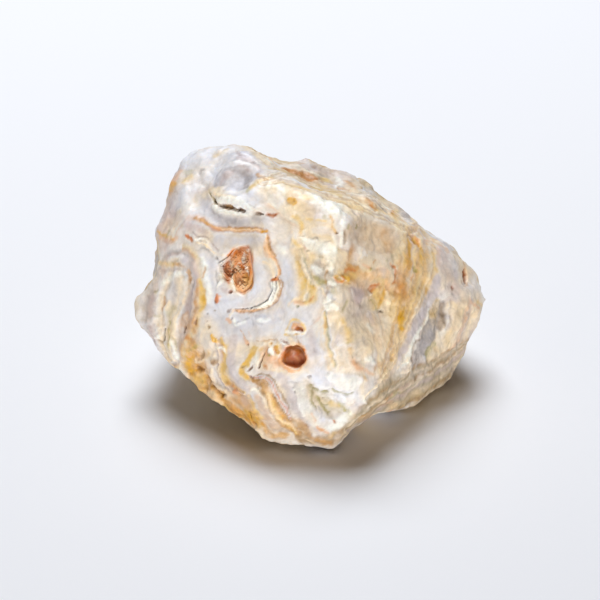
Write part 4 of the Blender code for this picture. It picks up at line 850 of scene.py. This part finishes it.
# How the bands wander: the size of the waves in millimetres, how many finer ones they carry, and the reach.
BAND_WANDER = [(14.0, 4, 3.0), (3.0, 3, 0.5)]
RIND_TONES = [("rind", 1.4), ("sand", 1.2), ("rind", 1.0), ("bark", 0.5), ("rind", 0.6), ("drab", 0.6)]
# How softly one band, and one tone of the rind, pass into the next, in millimetres.
BAND_SOFTNESS, RIND_SOFTNESS = 0.25, 0.24
# How much wider the rind's tones lie on the mesh.
RIND_SPACING = 2.5
# The size of the rind's patches in millimetres, how much more of it lies on the back, how much is missing
# everywhere, and how sharply it ends on the mesh.
RIND_PATCH, RIND_ON_BACK, RIND_MISSING, RIND_END = 16.0, 0.25, 0.12, 0.05
# The ground of the banded face, and how much of this it covers.
GROUND = {"milk": 0.6, "cream": 0.4}
GROUND_SHARE = 0.75

# The camera sees a mark fade where the stone turns away from it: not at all below the first share, fully
# above the second.
SEEN_FROM, SEEN_TO = 0.03, 0.22
# How far the marks' edges wander, in pixels, for waves of each size in millimetres.
WANDER = [(4.0, 1.5), (1.3, 0.7), (0.6, 0.45)]
# In how many steps a trail curves from one place to the next, and how far beyond its edge it is looked for.
CURVE_STEPS, TRAIL_MARGIN = 4, 2
# How much higher and deeper the marks stand than they are written.
MARK_RELIEF = 1.5
# How unevenly the marks cover: the size of the waves in millimetres, how far they widen or narrow a mark in
# pixels, how much of its strength they take, and the height of wave above which they take nothing.
PATCH_WAVE, PATCH_WIDENING, PATCH_FADING, PATCH_WHOLE = 1.3, 0.8, 0.35, 0.3
# How far the stripes stray with the same waves.
STRIPE_STRAY = 0.8
# How much warmer and cooler the stone is from place to place, for waves of this size in millimetres.
WARMTH_WAVE, WARMTH = 4.0, np.array([0.04, 0.0, -0.09])
# The relief of every surface, in millimetres: its waves, and their height on a smooth and on a coarse tone.
RELIEF = [(7.0, 0.22, 0.30), (1.6, 0.03, 0.11), (0.7, 0.005, 0.06)]
# Soft swellings with sharp creases between them, in the same terms.
SWELLINGS = [(4.2, 0.35, 0.75), (1.8, 0.05, 0.30)]
# Flat-faced chips: their size in millimetres, and their steepness on a smooth and on a coarse tone. Their
# edges stray by a share of their size, in waves of a third of it.
CHIPS = [(6.0, 0.07, 0.14), (2.4, 0.015, 0.16), (1.1, 0.0, 0.13)]
CHIP_SHARPNESS, CHIP_STRAY = 14.0, 0.12
# The tilts of neighbouring chips are drawn from cells this much smaller, so that they differ.
CHIP_TILTS = 7.3
# The first variant of each noise, so that no two are alike. The bands take 1 and 2.
WANDER_NOISE, RELIEF_NOISE, PATCH_NOISE, WARMTH_NOISE, SWELLING_NOISE, CHIP_NOISE = 10, 20, 30, 31, 34, 40
RIND_PATCHES = 3
# How far apart the variants lie, of the waves and of the chips.
WAVE_SHIFT, CHIP_SHIFT = Vector((17.3, 5.1, 9.7)), Vector((3.7, 11.9, 6.1))
# How far the relief may stand out of the solids' box, in millimetres.
BOX_MARGIN = 0.3
# Painted light and shade from the bend of the surface: how much lighter a sharp edge is painted, as painted
# light, and how much darker a crevice, as painted shade, per millimetre of bend, within which range, and how
# often the bend is averaged.
EDGE_LIGHT, EDGE_LIMIT, EDGE_ROUNDS = 4.0, (-0.30, 0.12), 2

# The material's detail that is too fine for the mesh. Each noise is the size of its waves in millimetres and
# its detail. The bands stray, the rind runs through its tones, and the rind's edge is ragged.
STRAY_NOISE, STRAY_REACH = (2.5, 3.0), 0.8
RIND_NOISE, RIND_TURNS = (2.6, 9.0), 5.5
RAGGED_NOISE, RAGGED_REACH, RAGGED_END = (1.2, 5.0), 0.35, 0.015
# The finest bands: how close they lie, and how strong they are on marks and on bare bands.
FINE_BANDS, FINE_ON_MARKS, FINE_ON_BARE = 11.0, 0.012, 0.04
# Specks are lighter and darker dots, the darker ones painted shade of tiny crevices; they are stronger on
# coarse tones. Clouds change the shade and the roughness.
SPECK_NOISE, SPECK_COARSE, SPECK_SMOOTH = (0.35, 4.0), 0.7, 0.1
CLOUD_NOISE, CLOUD_SHADE, CLOUD_ROUGHNESS = (2.2, 4.0), 0.14, 0.25
# The bump: the grain on coarse and on smooth tones, and the lumps of the rind.
GRAIN_NOISE, GRAIN_COARSE, GRAIN_SMOOTH = (0.4, 5.0), 0.9, 0.08
LUMP_NOISE, LUMP_HEIGHT = (1.3, 4.0), 3.0
BUMP_STRENGTH, BUMP_HEIGHT = 0.7, 0.12
QUARTZ_IOR = 1.54
# How deep light goes, in millimetres, for which shares of red, green and blue, and how milky each piece is.
MILK_DEPTH, MILK_COLOURS = 0.5, (1.0, 0.8, 0.65)
STONE_MILKINESS, CRUST_MILKINESS = 0.25, 0.35

# The crust's crystals: how many, and their width and length in millimetres. Each leans by up to CRYSTAL_LEAN
# and narrows to a share of its width.
CRYSTAL_COUNT, CRYSTAL_WIDTH, CRYSTAL_LENGTH = 190, (0.10, 0.26), (0.3, 0.8)
CRYSTAL_SIDES, CRYSTAL_LEAN, CRYSTAL_TIP = 6, 0.6, 0.08
# They stand on walls that turn out by more than a share. Below a row of the picture the crust is smooth.
CRUST_OPEN, SMOOTH_CRUST_BELOW = 0.1, 274
# How far the crust is spread so that it meets the stone's walls.
DRUSE_SPREAD = 0.12

FLOOR_SIZE, FLOOR_ROUGHNESS = 3.0, 0.8
FLOOR_COLOUR = (0.88, 0.885, 0.90)
SKY_COLOUR, SKY_STRENGTH = (1.0, 0.70, 0.48), 0.075
# A lamp: its colour, its power in watts, the side of its square in metres, and its place.
LAMPS = {
    "key": ((0.90, 0.94, 1.0), 15.2, 0.64, (-0.08, 0.46, 1.05)),
    "fill": ((1.0, 0.99, 0.98), 8.4, 0.22, (0.04, -1.03, 0.17)),
}


def linear(code):
    """The linear colour of a hexadecimal one."""
    parts = [int(code[start:start + 2], 16) / 255 for start in (1, 3, 5)]
    return np.array([part / 12.92 if part < 0.04045 else ((part + 0.055) / 1.055) ** 2.4 for part in parts])


def rich(colour):
    """The colour made stronger at the same lightness."""
    grey = colour @ LIGHTNESS
    return np.clip(grey + (colour - grey) * RICHNESS, DARKEST, LIGHTEST)


# A look is a tone's colour, roughness and coarseness in one row.
LOOKS = {name: np.array([*rich(linear(code)), roughness, coarseness])
         for name, (code, roughness, coarseness) in TONES.items()}


def new_object(name, data):
    """An object of a mesh, a lamp or a camera, in the scene."""
    made = bpy.data.objects.new(name, data)
    bpy.context.scene.collection.objects.link(made)
    return made


def joined_faces(node):
    """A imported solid's faces, joined where their corners meet."""
    bm = bmesh.new()
    bm.from_mesh(node.data)
    bmesh.ops.remove_doubles(bm, verts=bm.verts, dist=SAME_PLACE * MM)
    return bm


def mesh_from(bm, name):
    """A mesh of these faces, which are freed."""
    mesh = bpy.data.meshes.new(name)
    bm.to_mesh(mesh)
    bm.free()
    return mesh


def read_corners(mesh, what):
    """The places (co) or the normals of a mesh's corners, as rows."""
    flat = np.empty(len(mesh.vertices) * 3, np.float32)
    mesh.vertices.foreach_get(what, flat)
    return flat.reshape(-1, 3).astype(float)


def places_of(mesh):
    """The places of a mesh's corners, in metres."""
    return read_corners(mesh, "co")


def normals_of(mesh):
    """The way out of the mesh at each of its corners."""
    return read_corners(mesh, "normal")


def move_to(mesh, places):
    """Moves a mesh's corners to these places."""
    mesh.vertices.foreach_set("co", places.astype(np.float32).ravel())
    mesh.update()


def step(values, low, high):
    """0 below low, 1 above high, and a soft rise between them."""
    share = np.clip((values - low) / (high - low), 0.0, 1.0)
    return share * share * (3 - 2 * share)


def between(smooth, coarse, coarseness):
    """The value for a coarseness, from its values on a smooth and on a coarse tone."""
    return smooth + (coarse - smooth) * coarseness


def waves(places, size, depth=4, variant=0):
    """Fractal noise about 0, with waves of this size in millimetres. Each variant is another noise."""
    shift = WAVE_SHIFT * variant
    places = places / (size * MM)
    return np.array([noise.fractal(Vector(place) + shift, 1.0, 2.0, depth) for place in places])


def chip_height(spot):
    """How high the flat-faced chip at a spot stands, for chips of size 1."""
    distances, middles = noise.voronoi(spot)
    total, weights = 0.0, 0.0
    for distance, middle in zip(distances, middles):
        weight = math.exp(CHIP_SHARPNESS * (distances[0] - distance))
        tilt = noise.cell_vector(middle * CHIP_TILTS) * 2 - Vector((1.0, 1.0, 1.0))
        total += weight * (spot - middle).dot(tilt)
        weights += weight
    return total / weights


def chips(places, size, variant):
    """The height of flat-faced chips of this size, in millimetres for a steepness of 1."""
    shift = CHIP_SHIFT * variant
    stray = np.stack([waves(places, size / 3, 3, CHIP_NOISE + axis) for axis in range(3)], axis=1)
    places = places + CHIP_STRAY * size * MM * stray
    return np.array([chip_height(Vector(place) + shift) for place in places / (size * MM)]) * size


def picture_places(places):
    """Where the camera sees each place: pixels across and down its picture."""
    away = places - np.array(CAMERA_PLACE)
    scale = LENS / SENSOR * PICTURE / (away @ -np.array(OUT))
    across = PICTURE / 2 + (away @ np.array(RIGHT)) * scale
    down = PICTURE / 2 - (away @ np.array(UP)) * scale
    return np.stack([across, down], axis=1)


def hollow_share(places):
    """1 inside the places where a hollow opens in the face, and 0 well outside them."""
    spots = picture_places(places)
    share = np.zeros(len(places))
    for across, down, radius in HOLLOWS_SEEN:
        distance = np.hypot(spots[:, 0] - across, spots[:, 1] - down)
        share = np.maximum(share, 1 - step(distance, radius * HOLLOW_EDGE, radius))
    behind = (np.array(FACE_MIDDLE) - places) @ np.array(OUT) / MM
    return share * (1 - step(behind, HOLLOW_DEPTH, HOLLOW_DEPTH + HOLLOW_FADE))


def apply_modifiers(obj):
    """Turns what an object's modifiers make of its mesh into its mesh."""
    graph = bpy.context.evaluated_depsgraph_get()
    mesh = bpy.data.meshes.new_from_object(obj.evaluated_get(graph))
    obj.modifiers.clear()
    obj.data = mesh


def fine_copy(node, name, grid):
    """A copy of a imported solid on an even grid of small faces."""
    made = new_object(name, mesh_from(joined_faces(node), name))
    remesh = made.modifiers.new("grid", "REMESH")
    remesh.mode = "VOXEL"
    remesh.voxel_size = grid * MM
    apply_modifiers(made)
    return made


def refine_front(obj):
    """Makes the grid finer where the stone faces the camera."""
    bm = bmesh.new()
    bm.from_mesh(obj.data)
    bm.normal_update()
    edges = {edge for face in bm.faces if face.normal.dot(OUT) > FINE_FROM for edge in face.edges}
    bmesh.ops.subdivide_edges(bm, edges=list(edges), cuts=FRONT_CUTS, use_grid_fill=True)
    bmesh.ops.triangulate(bm, faces=[face for face in bm.faces if len(face.verts) > 4])
    bm.to_mesh(obj.data)
    bm.free()


def settle_on(mesh, node):
    """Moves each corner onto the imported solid's surface."""
    solid = BVHTree.FromPolygons([vertex.co for vertex in node.data.vertices],
                                 [face.vertices for face in node.data.polygons])
    move_to(mesh, np.array([solid.find_nearest(Vector(place))[0] for place in places_of(mesh)]))


def neighbour_mean(mesh):
    """A function that gives, for one value at each corner, the mean of the values at its neighbours."""
    ends = np.empty(len(mesh.edges) * 2, np.int32)
    mesh.edges.foreach_get("vertices", ends)
    first, second = ends.reshape(-1, 2).T
    total = len(mesh.vertices)
    links = np.bincount(first, minlength=total) + np.bincount(second, minlength=total)

    def mean(values):
        sums = np.bincount(first, values[second], total) + np.bincount(second, values[first], total)
        return sums / links

    return mean


def relax(mesh):
    """Smooths the facets away, least on the back and in the hollows."""
    front = step(normals_of(mesh) @ np.array(OUT), FRONT_FROM, FRONT_TO)
    freedom = BACK_FREEDOM + (1 - BACK_FREEDOM) * front
    freedom = freedom * (1 - HOLLOW_HOLD * hollow_share(places_of(mesh)))
    mean = neighbour_mean(mesh)
    places = places_of(mesh)
    for _ in range(SMOOTH_ROUNDS):
        for axis in range(3):
            places[:, axis] += (mean(places[:, axis]) - places[:, axis]) * SMOOTH_PULL * freedom
    move_to(mesh, places)


def read_trails(written):
    """The trails written in a text, each a row for every place: across, down and the half-width there."""
    return [np.array([place.split() for place in trail.split(",")], float) for trail in written.split("/")]


def smooth_trail(trail):
    """The trail with places added along a curve through its places."""
    if len(trail) < 3:
        return trail
    ends = np.vstack([2 * trail[0] - trail[1], trail, 2 * trail[-1] - trail[-2]])
    curve = []
    for before, start, end, after in zip(ends, ends[1:], ends[2:], ends[3:]):
        for at in np.arange(CURVE_STEPS) / CURVE_STEPS:
            bend = 2 * before - 5 * start + 4 * end - after
            twist = 3 * start - before - 3 * end + after
            curve.append(start + ((end - before) * at + bend * at ** 2 + twist * at ** 3) / 2)
    return np.array([*curve, trail[-1]])


def lie_on_trail(spots, trail):
    """How far inside the trail's edge each spot lies, and where across it, from 0 at its left to 1."""
    inside, across = np.full(len(spots), -np.inf), np.full(len(spots), 0.5)
    if len(trail) == 1:
        trail = np.vstack([trail, trail])
    for start, end in zip(trail, trail[1:]):
        along = end[:2] - start[:2]
        share = np.clip((spots - start[:2]) @ along / max(along @ along, 1e-9), 0.0, 1.0)
        aside = spots - start[:2] - share[:, None] * along
        gap = np.hypot(*aside.T)
        width = start[2] + (end[2] - start[2]) * share
        side = np.sign(along[0] * aside[:, 1] - along[1] * aside[:, 0])
        nearer = width - gap > inside
        inside[nearer] = (width - gap)[nearer]
        across[nearer] = (0.5 + 0.5 * side * gap / width)[nearer]
    return inside, across


def banding(places, order, spacing=1.0):
    """The look of bands round the stone's middles, and how far each place lies along them in millimetres."""
    along = np.full(len(places), np.inf)
    for middle in BAND_MIDDLES:
        along = np.minimum(along, np.linalg.norm(places / MM - middle, axis=1))
    for variant, (size, depth, reach) in enumerate(BAND_WANDER, 1):
        along = along + reach * waves(places, size, depth, variant)
    along = along / spacing
    starts = np.concatenate([[0.0], np.cumsum([width for _, width in order])])
    tones = np.array([LOOKS[tone] for tone, _ in [*order, order[0]]])
    turn = np.mod(along, starts[-1])
    looks = np.stack([np.interp(turn, starts, tones[:, part]) for part in range(5)], axis=1)
    return looks, along


def rind_cover(places, normals):
    """How well the rind covers each place: it does above 0, most of all on the back."""
    patches = waves(places, RIND_PATCH, 5, RIND_PATCHES)
    return patches + RIND_ON_BACK * (normals @ -np.array(OUT)) - RIND_MISSING


def bare_look(places, cover):
    """What the stone looks like where no mark lies: bands, under a rind that covers part of it."""
    looks, along = banding(places, BAND_ORDER)
    rinds, _ = banding(places, RIND_TONES, RIND_SPACING)
    return looks + (rinds - looks) * step(cover, -RIND_END, RIND_END)[:, None], along


class Canvas:
    """A mesh's looks while marks are laid on it: each corner's look, and how far it rises in millimetres."""

    def __init__(self, mesh):
        places, normals = places_of(mesh), normals_of(mesh)
        self.rind = rind_cover(places, normals)
        self.looks, self.along = bare_look(places, self.rind)
        self.bare = np.ones(len(places))
        self.rise = np.zeros(len(places))
        toward = np.array(CAMERA_PLACE) - places
        facing = np.einsum("ij,ij->i", normals, toward) / np.linalg.norm(toward, axis=1)
        self.seen = np.maximum(step(facing, SEEN_FROM, SEEN_TO), hollow_share(places))
        self.spots = picture_places(places)
        for number, (size, reach) in enumerate(WANDER):
            for axis in range(2):
                self.spots[:, axis] += reach * waves(places, size, 3, WANDER_NOISE + 2 * number + axis)
        self.patches = waves(places, PATCH_WAVE, 3, PATCH_NOISE)

    def cover(self, strength, softness, trail):
        """The corners that a trail covers, how strongly, and where they lie across it."""
        trail = smooth_trail(trail)
        reach = trail[:, 2].max() + softness + TRAIL_MARGIN
        low, high = trail[:, :2].min(0) - reach, trail[:, :2].max(0) + reach
        near = np.flatnonzero(np.all((self.spots > low) & (self.spots < high), axis=1) & (self.seen > 0))
        inside, across = lie_on_trail(self.spots[near], trail)
        patches = self.patches[near]
        share = step(inside + PATCH_WIDENING * patches, -softness, softness) * self.seen[near]
        fade = np.clip(1 - PATCH_FADING * (PATCH_WHOLE - patches), 0.0, 1.0)
        return near, share * strength * fade, across

    def blend(self, near, share, look, rise):
        """Lays a share of a look over these corners and lifts them."""
        self.looks[near] += (look - self.looks[near]) * share[:, None]
        self.rise[near] += rise * share
        self.bare[near] *= 1 - share

    def stripe(self, strength, softness, written, order):
        """Lays stripes side by side along a trail."""
        near, share, across = self.cover(strength, softness, *read_trails(written))
        widths = np.array([width for _, width, _ in order])
        ends = np.cumsum(widths)
        turn = across * ends[-1] + STRIPE_STRAY * self.patches[near]
        tones = np.array([[*LOOKS[tone], rise] for tone, _, rise in order])
        mixed = np.stack([np.interp(turn, ends - widths / 2, tones[:, part]) for part in range(6)], axis=1)
        self.blend(near, share, mixed[:, :5], mixed[:, 5])

    def mark(self, tone, strength, softness, rise, written):
        """Lays one tone along trails."""
        for trail in read_trails(written):
            near, share, _ = self.cover(strength, softness, trail)
            self.blend(near, share, LOOKS[tone], rise)


def paint(mesh, only=None):
    """Lays the marks and stripes on a mesh: those of every family, or only of some."""
    canvas = Canvas(mesh)
    ground = sum(LOOKS[tone] * share for tone, share in GROUND.items())
    canvas.blend(slice(None), GROUND_SHARE * canvas.seen, ground, 0.0)
    for name in only or MARKS:
        for stripes in STRIPES.get(name, []):
            canvas.stripe(*stripes)
        for mark in MARKS[name]:
            canvas.mark(*mark)
    warmth = waves(places_of(mesh), WARMTH_WAVE, 4, WARMTH_NOISE)
    canvas.looks[:, :3] *= 1 + warmth[:, None] * WARMTH
    return canvas


def carve(mesh, canvas):
    """Moves each corner out by its mark's rise and by the relief of its tone."""
    places, normals = places_of(mesh), normals_of(mesh)
    lift = canvas.rise * MARK_RELIEF
    coarseness = canvas.looks[:, 4]
    free = 1 - hollow_share(places)
    for number, (size, smooth, coarse) in enumerate(RELIEF):
        lift += between(smooth, coarse, coarseness) * waves(places, size, 4, RELIEF_NOISE + number)
    for number, (size, smooth, coarse) in enumerate(SWELLINGS):
        swell = np.abs(waves(places, size, 3, SWELLING_NOISE + number))
        lift += between(smooth, coarse, coarseness) * (swell - swell.mean()) * free
    for number, (size, smooth, coarse) in enumerate(CHIPS):
        lift += between(smooth, coarse, coarseness) * chips(places, size, number + 1) * free
    inside = np.array(CAD_BOX[0]) - BOX_MARGIN * MM, np.array(CAD_BOX[1]) + BOX_MARGIN * MM
    places = np.clip(places + normals * (lift * MM)[:, None], *inside)
    places[:, 2] = np.maximum(places[:, 2], 0.0)
    move_to(mesh, places)


def paint_edge_light_and_crevice_shade(mesh, looks):
    """Paints light onto the sharp edges and painted shade into the crevices."""
    mean = neighbour_mean(mesh)
    places, normals = places_of(mesh), normals_of(mesh)
    drop = places - np.stack([mean(places[:, axis]) for axis in range(3)], axis=1)
    bend = np.einsum("ij,ij->i", drop, normals) / MM
    for _ in range(EDGE_ROUNDS):
        bend = (bend + mean(bend)) / 2
    looks[:, :3] *= (1 + np.clip(bend * EDGE_LIGHT, *EDGE_LIMIT))[:, None]


def set_attribute(mesh, name, values, kind="FLOAT"):
    """Gives a mesh one value, or one colour, at each corner for its material."""
    layer = mesh.attributes.new(name, kind, "POINT")
    if kind == "FLOAT_COLOR":
        values = np.column_stack([values, np.ones(len(values))])
        layer.data.foreach_set("color", values.astype(np.float32).ravel())
    else:
        layer.data.foreach_set("value", values.astype(np.float32))


def keep_looks(mesh, canvas):
    """Keeps what was painted on the mesh."""
    set_attribute(mesh, "Tint", canvas.looks[:, :3], "FLOAT_COLOR")
    set_attribute(mesh, "Roughness", canvas.looks[:, 3])
    set_attribute(mesh, "Coarseness", canvas.looks[:, 4])
    set_attribute(mesh, "Along", canvas.along)
    set_attribute(mesh, "Bare", canvas.bare)
    set_attribute(mesh, "Rind", canvas.rind)


class Nodes:
    """A material's node tree, written one node at a time."""

    def __init__(self, name):
        self.material = bpy.data.materials.new(name)
        self.material.use_nodes = True
        self.tree = self.material.node_tree
        self.surface = self.tree.nodes["Principled BSDF"]

    def put(self, socket, value):
        """Links a socket to another node's, or gives it a constant."""
        if isinstance(value, bpy.types.NodeSocket):
            self.tree.links.new(value, socket)
        else:
            socket.default_value = value

    def add(self, kind, settings=None, **inputs):
        """A new node, with its settings and the values of its inputs."""
        node = self.tree.nodes.new(kind)
        for key, value in (settings or {}).items():
            setattr(node, key, value)
        for key, value in inputs.items():
            self.put(node.inputs[key.replace("_", " ")], value)
        return node

    def dress(self, values):
        """Puts these values into the inputs of the surface."""
        for name, value in values.items():
            self.put(self.surface.inputs[name], value)

    def attribute(self, name, output="Fac"):
        """What the mesh keeps under this name."""
        return self.add("ShaderNodeAttribute", {"attribute_name": name}).outputs[output]

    def math(self, operation, *values):
        """The result of one step of arithmetic."""
        node = self.add("ShaderNodeMath", {"operation": operation})
        for socket, value in zip(node.inputs, values):
            self.put(socket, value)
        return node.outputs[0]

    def scaled_noise(self, wave, detail):
        """Noise about 0.5 with waves of this size in millimetres."""
        place = self.add("ShaderNodeTexCoord").outputs["Object"]
        pattern = self.add("ShaderNodeTexNoise", Vector=place, Scale=1 / (wave * MM), Detail=detail)
        return pattern.outputs["Fac"]

    def around_zero(self, wave, detail):
        """Noise about 0."""
        return self.math("SUBTRACT", self.scaled_noise(wave, detail), 0.5)

    def mix(self, share, first, second):
        """The first colour with a share of the second."""
        mixed = self.add("ShaderNodeMix", {"data_type": "RGBA"})
        for socket, value in ((0, share), (6, first), (7, second)):
            self.put(mixed.inputs[socket], value)
        return mixed.outputs[2]

    def ramp(self, along, order, softness):
        """The colours of these tones in turn, over and over, for a length along them in millimetres."""
        total = sum(width for _, width in order)
        turn = self.math("FRACT", self.math("DIVIDE", along, total))
        ramp = self.add("ShaderNodeValToRGB", Fac=turn)
        stops = ramp.color_ramp.elements
        start = 0.0
        for tone, width in order:
            end = start + width / total
            for position in (start + softness / total, end - softness / total):
                stop = stops.new(position)
                stop.color = (*LOOKS[tone][:3], 1.0)
            start = end
        stops.remove(stops[0])
        stops.remove(stops[len(stops) - 1])
        return ramp.outputs["Color"]


def bare_tint(nodes):
    """The colour of the bands and the rind where no mark lies, and the rind's share of it."""
    stray = nodes.math("MULTIPLY", nodes.around_zero(*STRAY_NOISE), STRAY_REACH)
    bands = nodes.ramp(nodes.math("ADD", nodes.attribute("Along"), stray), BAND_ORDER, BAND_SOFTNESS)
    turns = nodes.math("MULTIPLY", nodes.scaled_noise(*RIND_NOISE), RIND_TURNS)
    rind = nodes.ramp(turns, RIND_TONES, RIND_SOFTNESS)
    ragged = nodes.around_zero(*RAGGED_NOISE)
    cover = nodes.math("MULTIPLY_ADD", ragged, RAGGED_REACH, nodes.attribute("Rind"))
    edge = nodes.add("ShaderNodeMapRange", Value=cover, From_Min=-RAGGED_END, From_Max=RAGGED_END)
    share = edge.outputs["Result"]
    return nodes.mix(share, bands, rind), share


def shade(nodes, coarseness, clouds, banded):
    """How light the stone is from place to place: its finest bands, its specks, whose darker dots are
    painted shade of tiny crevices, and its clouds.
    """
    fine_bands = nodes.math("SINE", nodes.math("MULTIPLY", nodes.attribute("Along"), FINE_BANDS))
    fineness = nodes.math("MULTIPLY_ADD", banded, FINE_ON_BARE, FINE_ON_MARKS)
    speckling = nodes.math("MULTIPLY_ADD", coarseness, SPECK_COARSE, SPECK_SMOOTH)
    # Specks: lighter and darker dots, the darker ones painted shade of tiny crevices.
    specks = nodes.math("MULTIPLY", nodes.around_zero(*SPECK_NOISE), speckling)
    light = nodes.math("ADD", nodes.math("MULTIPLY_ADD", fine_bands, fineness, 1.0), specks)
    return nodes.math("ADD", light, nodes.math("MULTIPLY", clouds, CLOUD_SHADE))


def bump(nodes, coarseness, rind):
    """The grain of the stone and the lumps of its rind."""
    graininess = nodes.math("MULTIPLY_ADD", coarseness, GRAIN_COARSE, GRAIN_SMOOTH)
    grain = nodes.math("MULTIPLY", nodes.scaled_noise(*GRAIN_NOISE), graininess)
    lumps = nodes.math("MULTIPLY", rind, LUMP_HEIGHT)
    height = nodes.math("MULTIPLY_ADD", lumps, nodes.scaled_noise(*LUMP_NOISE), grain)
    bumps = nodes.add("ShaderNodeBump", Strength=BUMP_STRENGTH, Distance=BUMP_HEIGHT * MM, Height=height)
    return bumps.outputs["Normal"]


def stone_material(name, milkiness):
    """Painted stone: the marks' tones, with fine bands, specks (their darker dots painted shade of tiny
    crevices) and grain that the mesh is too coarse for.
    """
    nodes = Nodes(name)
    bare, coarseness = nodes.attribute("Bare"), nodes.attribute("Coarseness")
    bare_colour, rind_share = bare_tint(nodes)
    rind = nodes.math("MULTIPLY", bare, rind_share)
    clouds = nodes.around_zero(*CLOUD_NOISE)
    tinted = nodes.add("ShaderNodeVectorMath", {"operation": "SCALE"})
    nodes.put(tinted.inputs[0], nodes.mix(bare, nodes.attribute("Tint", "Color"), bare_colour))
    nodes.put(tinted.inputs["Scale"], shade(nodes, coarseness, clouds, nodes.math("SUBTRACT", bare, rind)))
    nodes.dress({
        "Base Color": tinted.outputs[0],
        "Roughness": nodes.math("MULTIPLY_ADD", clouds, CLOUD_ROUGHNESS, nodes.attribute("Roughness")),
        "IOR": QUARTZ_IOR,
        "Subsurface Weight": milkiness,
        "Subsurface Radius": MILK_COLOURS,
        "Subsurface Scale": MILK_DEPTH * MM,
        "Normal": bump(nodes, coarseness, rind),
    })
    return nodes.material


def build_stone():
    """The stone on its fine mesh, painted and carved."""
    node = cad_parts["agate"]
    stone = fine_copy(node, "agate_stone", GRID)
    mesh = stone.data
    refine_front(stone)
    settle_on(mesh, node)
    relax(mesh)
    canvas = paint(mesh)
    carve(mesh, canvas)
    # Painted light on the sharp edges and painted shade in the crevices.
    paint_edge_light_and_crevice_shade(mesh, canvas.looks)
    keep_looks(mesh, canvas)
    mesh.polygons.foreach_set("use_smooth", np.ones(len(mesh.polygons), bool))
    mesh.materials.append(stone_material("banded stone", STONE_MILKINESS))
    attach(stone, "root")
    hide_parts("agate")
    return stone


def crystal_walls(bm):
    """The faces of the crust that crystals stand on."""
    walls = [face for face in bm.faces if face.normal.dot(OUT) > CRUST_OPEN]
    rows = picture_places(np.array([face.calc_center_median() for face in walls]))[:, 1]
    return [face for face, row in zip(walls, rows) if row < SMOOTH_CRUST_BELOW]


def grow_crystal(bm, root, normal):
    """Adds one small crystal that stands on root and leans a little."""
    lean = Vector([random.uniform(-CRYSTAL_LEAN, CRYSTAL_LEAN) for _ in range(3)])
    width = random.uniform(*CRYSTAL_WIDTH) * MM
    length = random.uniform(*CRYSTAL_LENGTH) * MM
    turn = Matrix.Rotation(random.uniform(0.0, math.pi), 4, "Z")
    stand = Matrix.Translation((0.0, 0.0, length / 2 - width))
    outward = (normal + lean).normalized().to_track_quat("Z", "Y").to_matrix().to_4x4()
    bmesh.ops.create_cone(bm, cap_ends=True, segments=CRYSTAL_SIDES, depth=length,
                          radius1=width, radius2=width * CRYSTAL_TIP,
                          matrix=Matrix.Translation(root) @ outward @ stand @ turn)


def spread_crust(bm):
    """Widens the crust so that it meets the stone's walls."""
    middle = sum((vertex.co for vertex in bm.verts), Vector()) / len(bm.verts)
    for vertex in bm.verts:
        across = vertex.co - middle
        across -= OUT * across.dot(OUT)
        vertex.co += across * DRUSE_SPREAD


def build_druse():
    """The crust of crystals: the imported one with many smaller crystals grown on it."""
    random.seed(SEED)
    bm = joined_faces(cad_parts["druse"])
    bmesh.ops.triangulate(bm, faces=bm.faces)
    bm.normal_update()
    walls = crystal_walls(bm)
    chosen = random.choices(walls, [face.calc_area() for face in walls], k=CRYSTAL_COUNT)
    roots = [(face.calc_center_median(), face.normal.copy()) for face in chosen]
    bmesh.ops.subdivide_edges(bm, edges=bm.edges, cuts=1)
    for root, normal in roots:
        grow_crystal(bm, root, normal)
    spread_crust(bm)
    druse = new_object("druse_crystals", mesh_from(bm, "druse_crystals"))
    keep_looks(druse.data, paint(druse.data, ["upper hollow"]))
    druse.data.materials.append(stone_material("crystal crust", CRUST_MILKINESS))
    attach(druse, "root")
    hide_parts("druse")
    return druse


def build_floor():
    """The plain pale floor."""
    bm = bmesh.new()
    bmesh.ops.create_grid(bm, x_segments=1, y_segments=1, size=FLOOR_SIZE / 2)
    floor = new_object("floor", mesh_from(bm, "floor"))
    nodes = Nodes("pale floor")
    nodes.dress({"Base Color": (*FLOOR_COLOUR, 1.0), "Roughness": FLOOR_ROUGHNESS})
    floor.data.materials.append(nodes.material)


def soft_light(name, colour, power, size, place):
    """A square lamp that looks at the stone."""
    lamp = bpy.data.lights.new(name, "AREA")
    lamp.color = colour
    lamp.energy = power
    lamp.size = size
    made = new_object(name, lamp)
    made.location = place
    made.rotation_euler = (Vector(place) - FACE_MIDDLE).to_track_quat("Z", "Y").to_euler()
    return made


def light_only(lamp, pieces):
    """Keeps a lamp's light to these pieces, so that it leaves the shadow on the floor dark."""
    lit = bpy.data.collections.new("lit by the " + lamp.name)
    for piece in pieces:
        lit.objects.link(piece)
    lamp.light_linking.receiver_collection = lit


def build_light(stone_pieces):
    """The soft studio light: an even sky, a lamp above and behind, and a weak one in front of the stone."""
    world = bpy.data.worlds.new("studio")
    world.use_nodes = True
    sky = world.node_tree.nodes["Background"]
    sky.inputs["Color"].default_value = (*SKY_COLOUR, 1.0)
    sky.inputs["Strength"].default_value = SKY_STRENGTH
    bpy.context.scene.world = world
    bpy.context.scene.view_settings.view_transform = "Standard"
    lamps = {name: soft_light(name, *settings) for name, settings in LAMPS.items()}
    light_only(lamps["fill"], stone_pieces)


def build_camera():
    """The camera at the photograph's viewing angle."""
    camera = bpy.data.cameras.new("camera")
    camera.lens = LENS
    camera.sensor_width = SENSOR
    made = new_object("camera", camera)
    made.location = CAMERA_PLACE
    made.rotation_euler = OUT.to_track_quat("Z", "Y").to_euler()
    bpy.context.scene.camera = made


build_camera()
build_floor()
build_light([build_stone(), build_druse()])
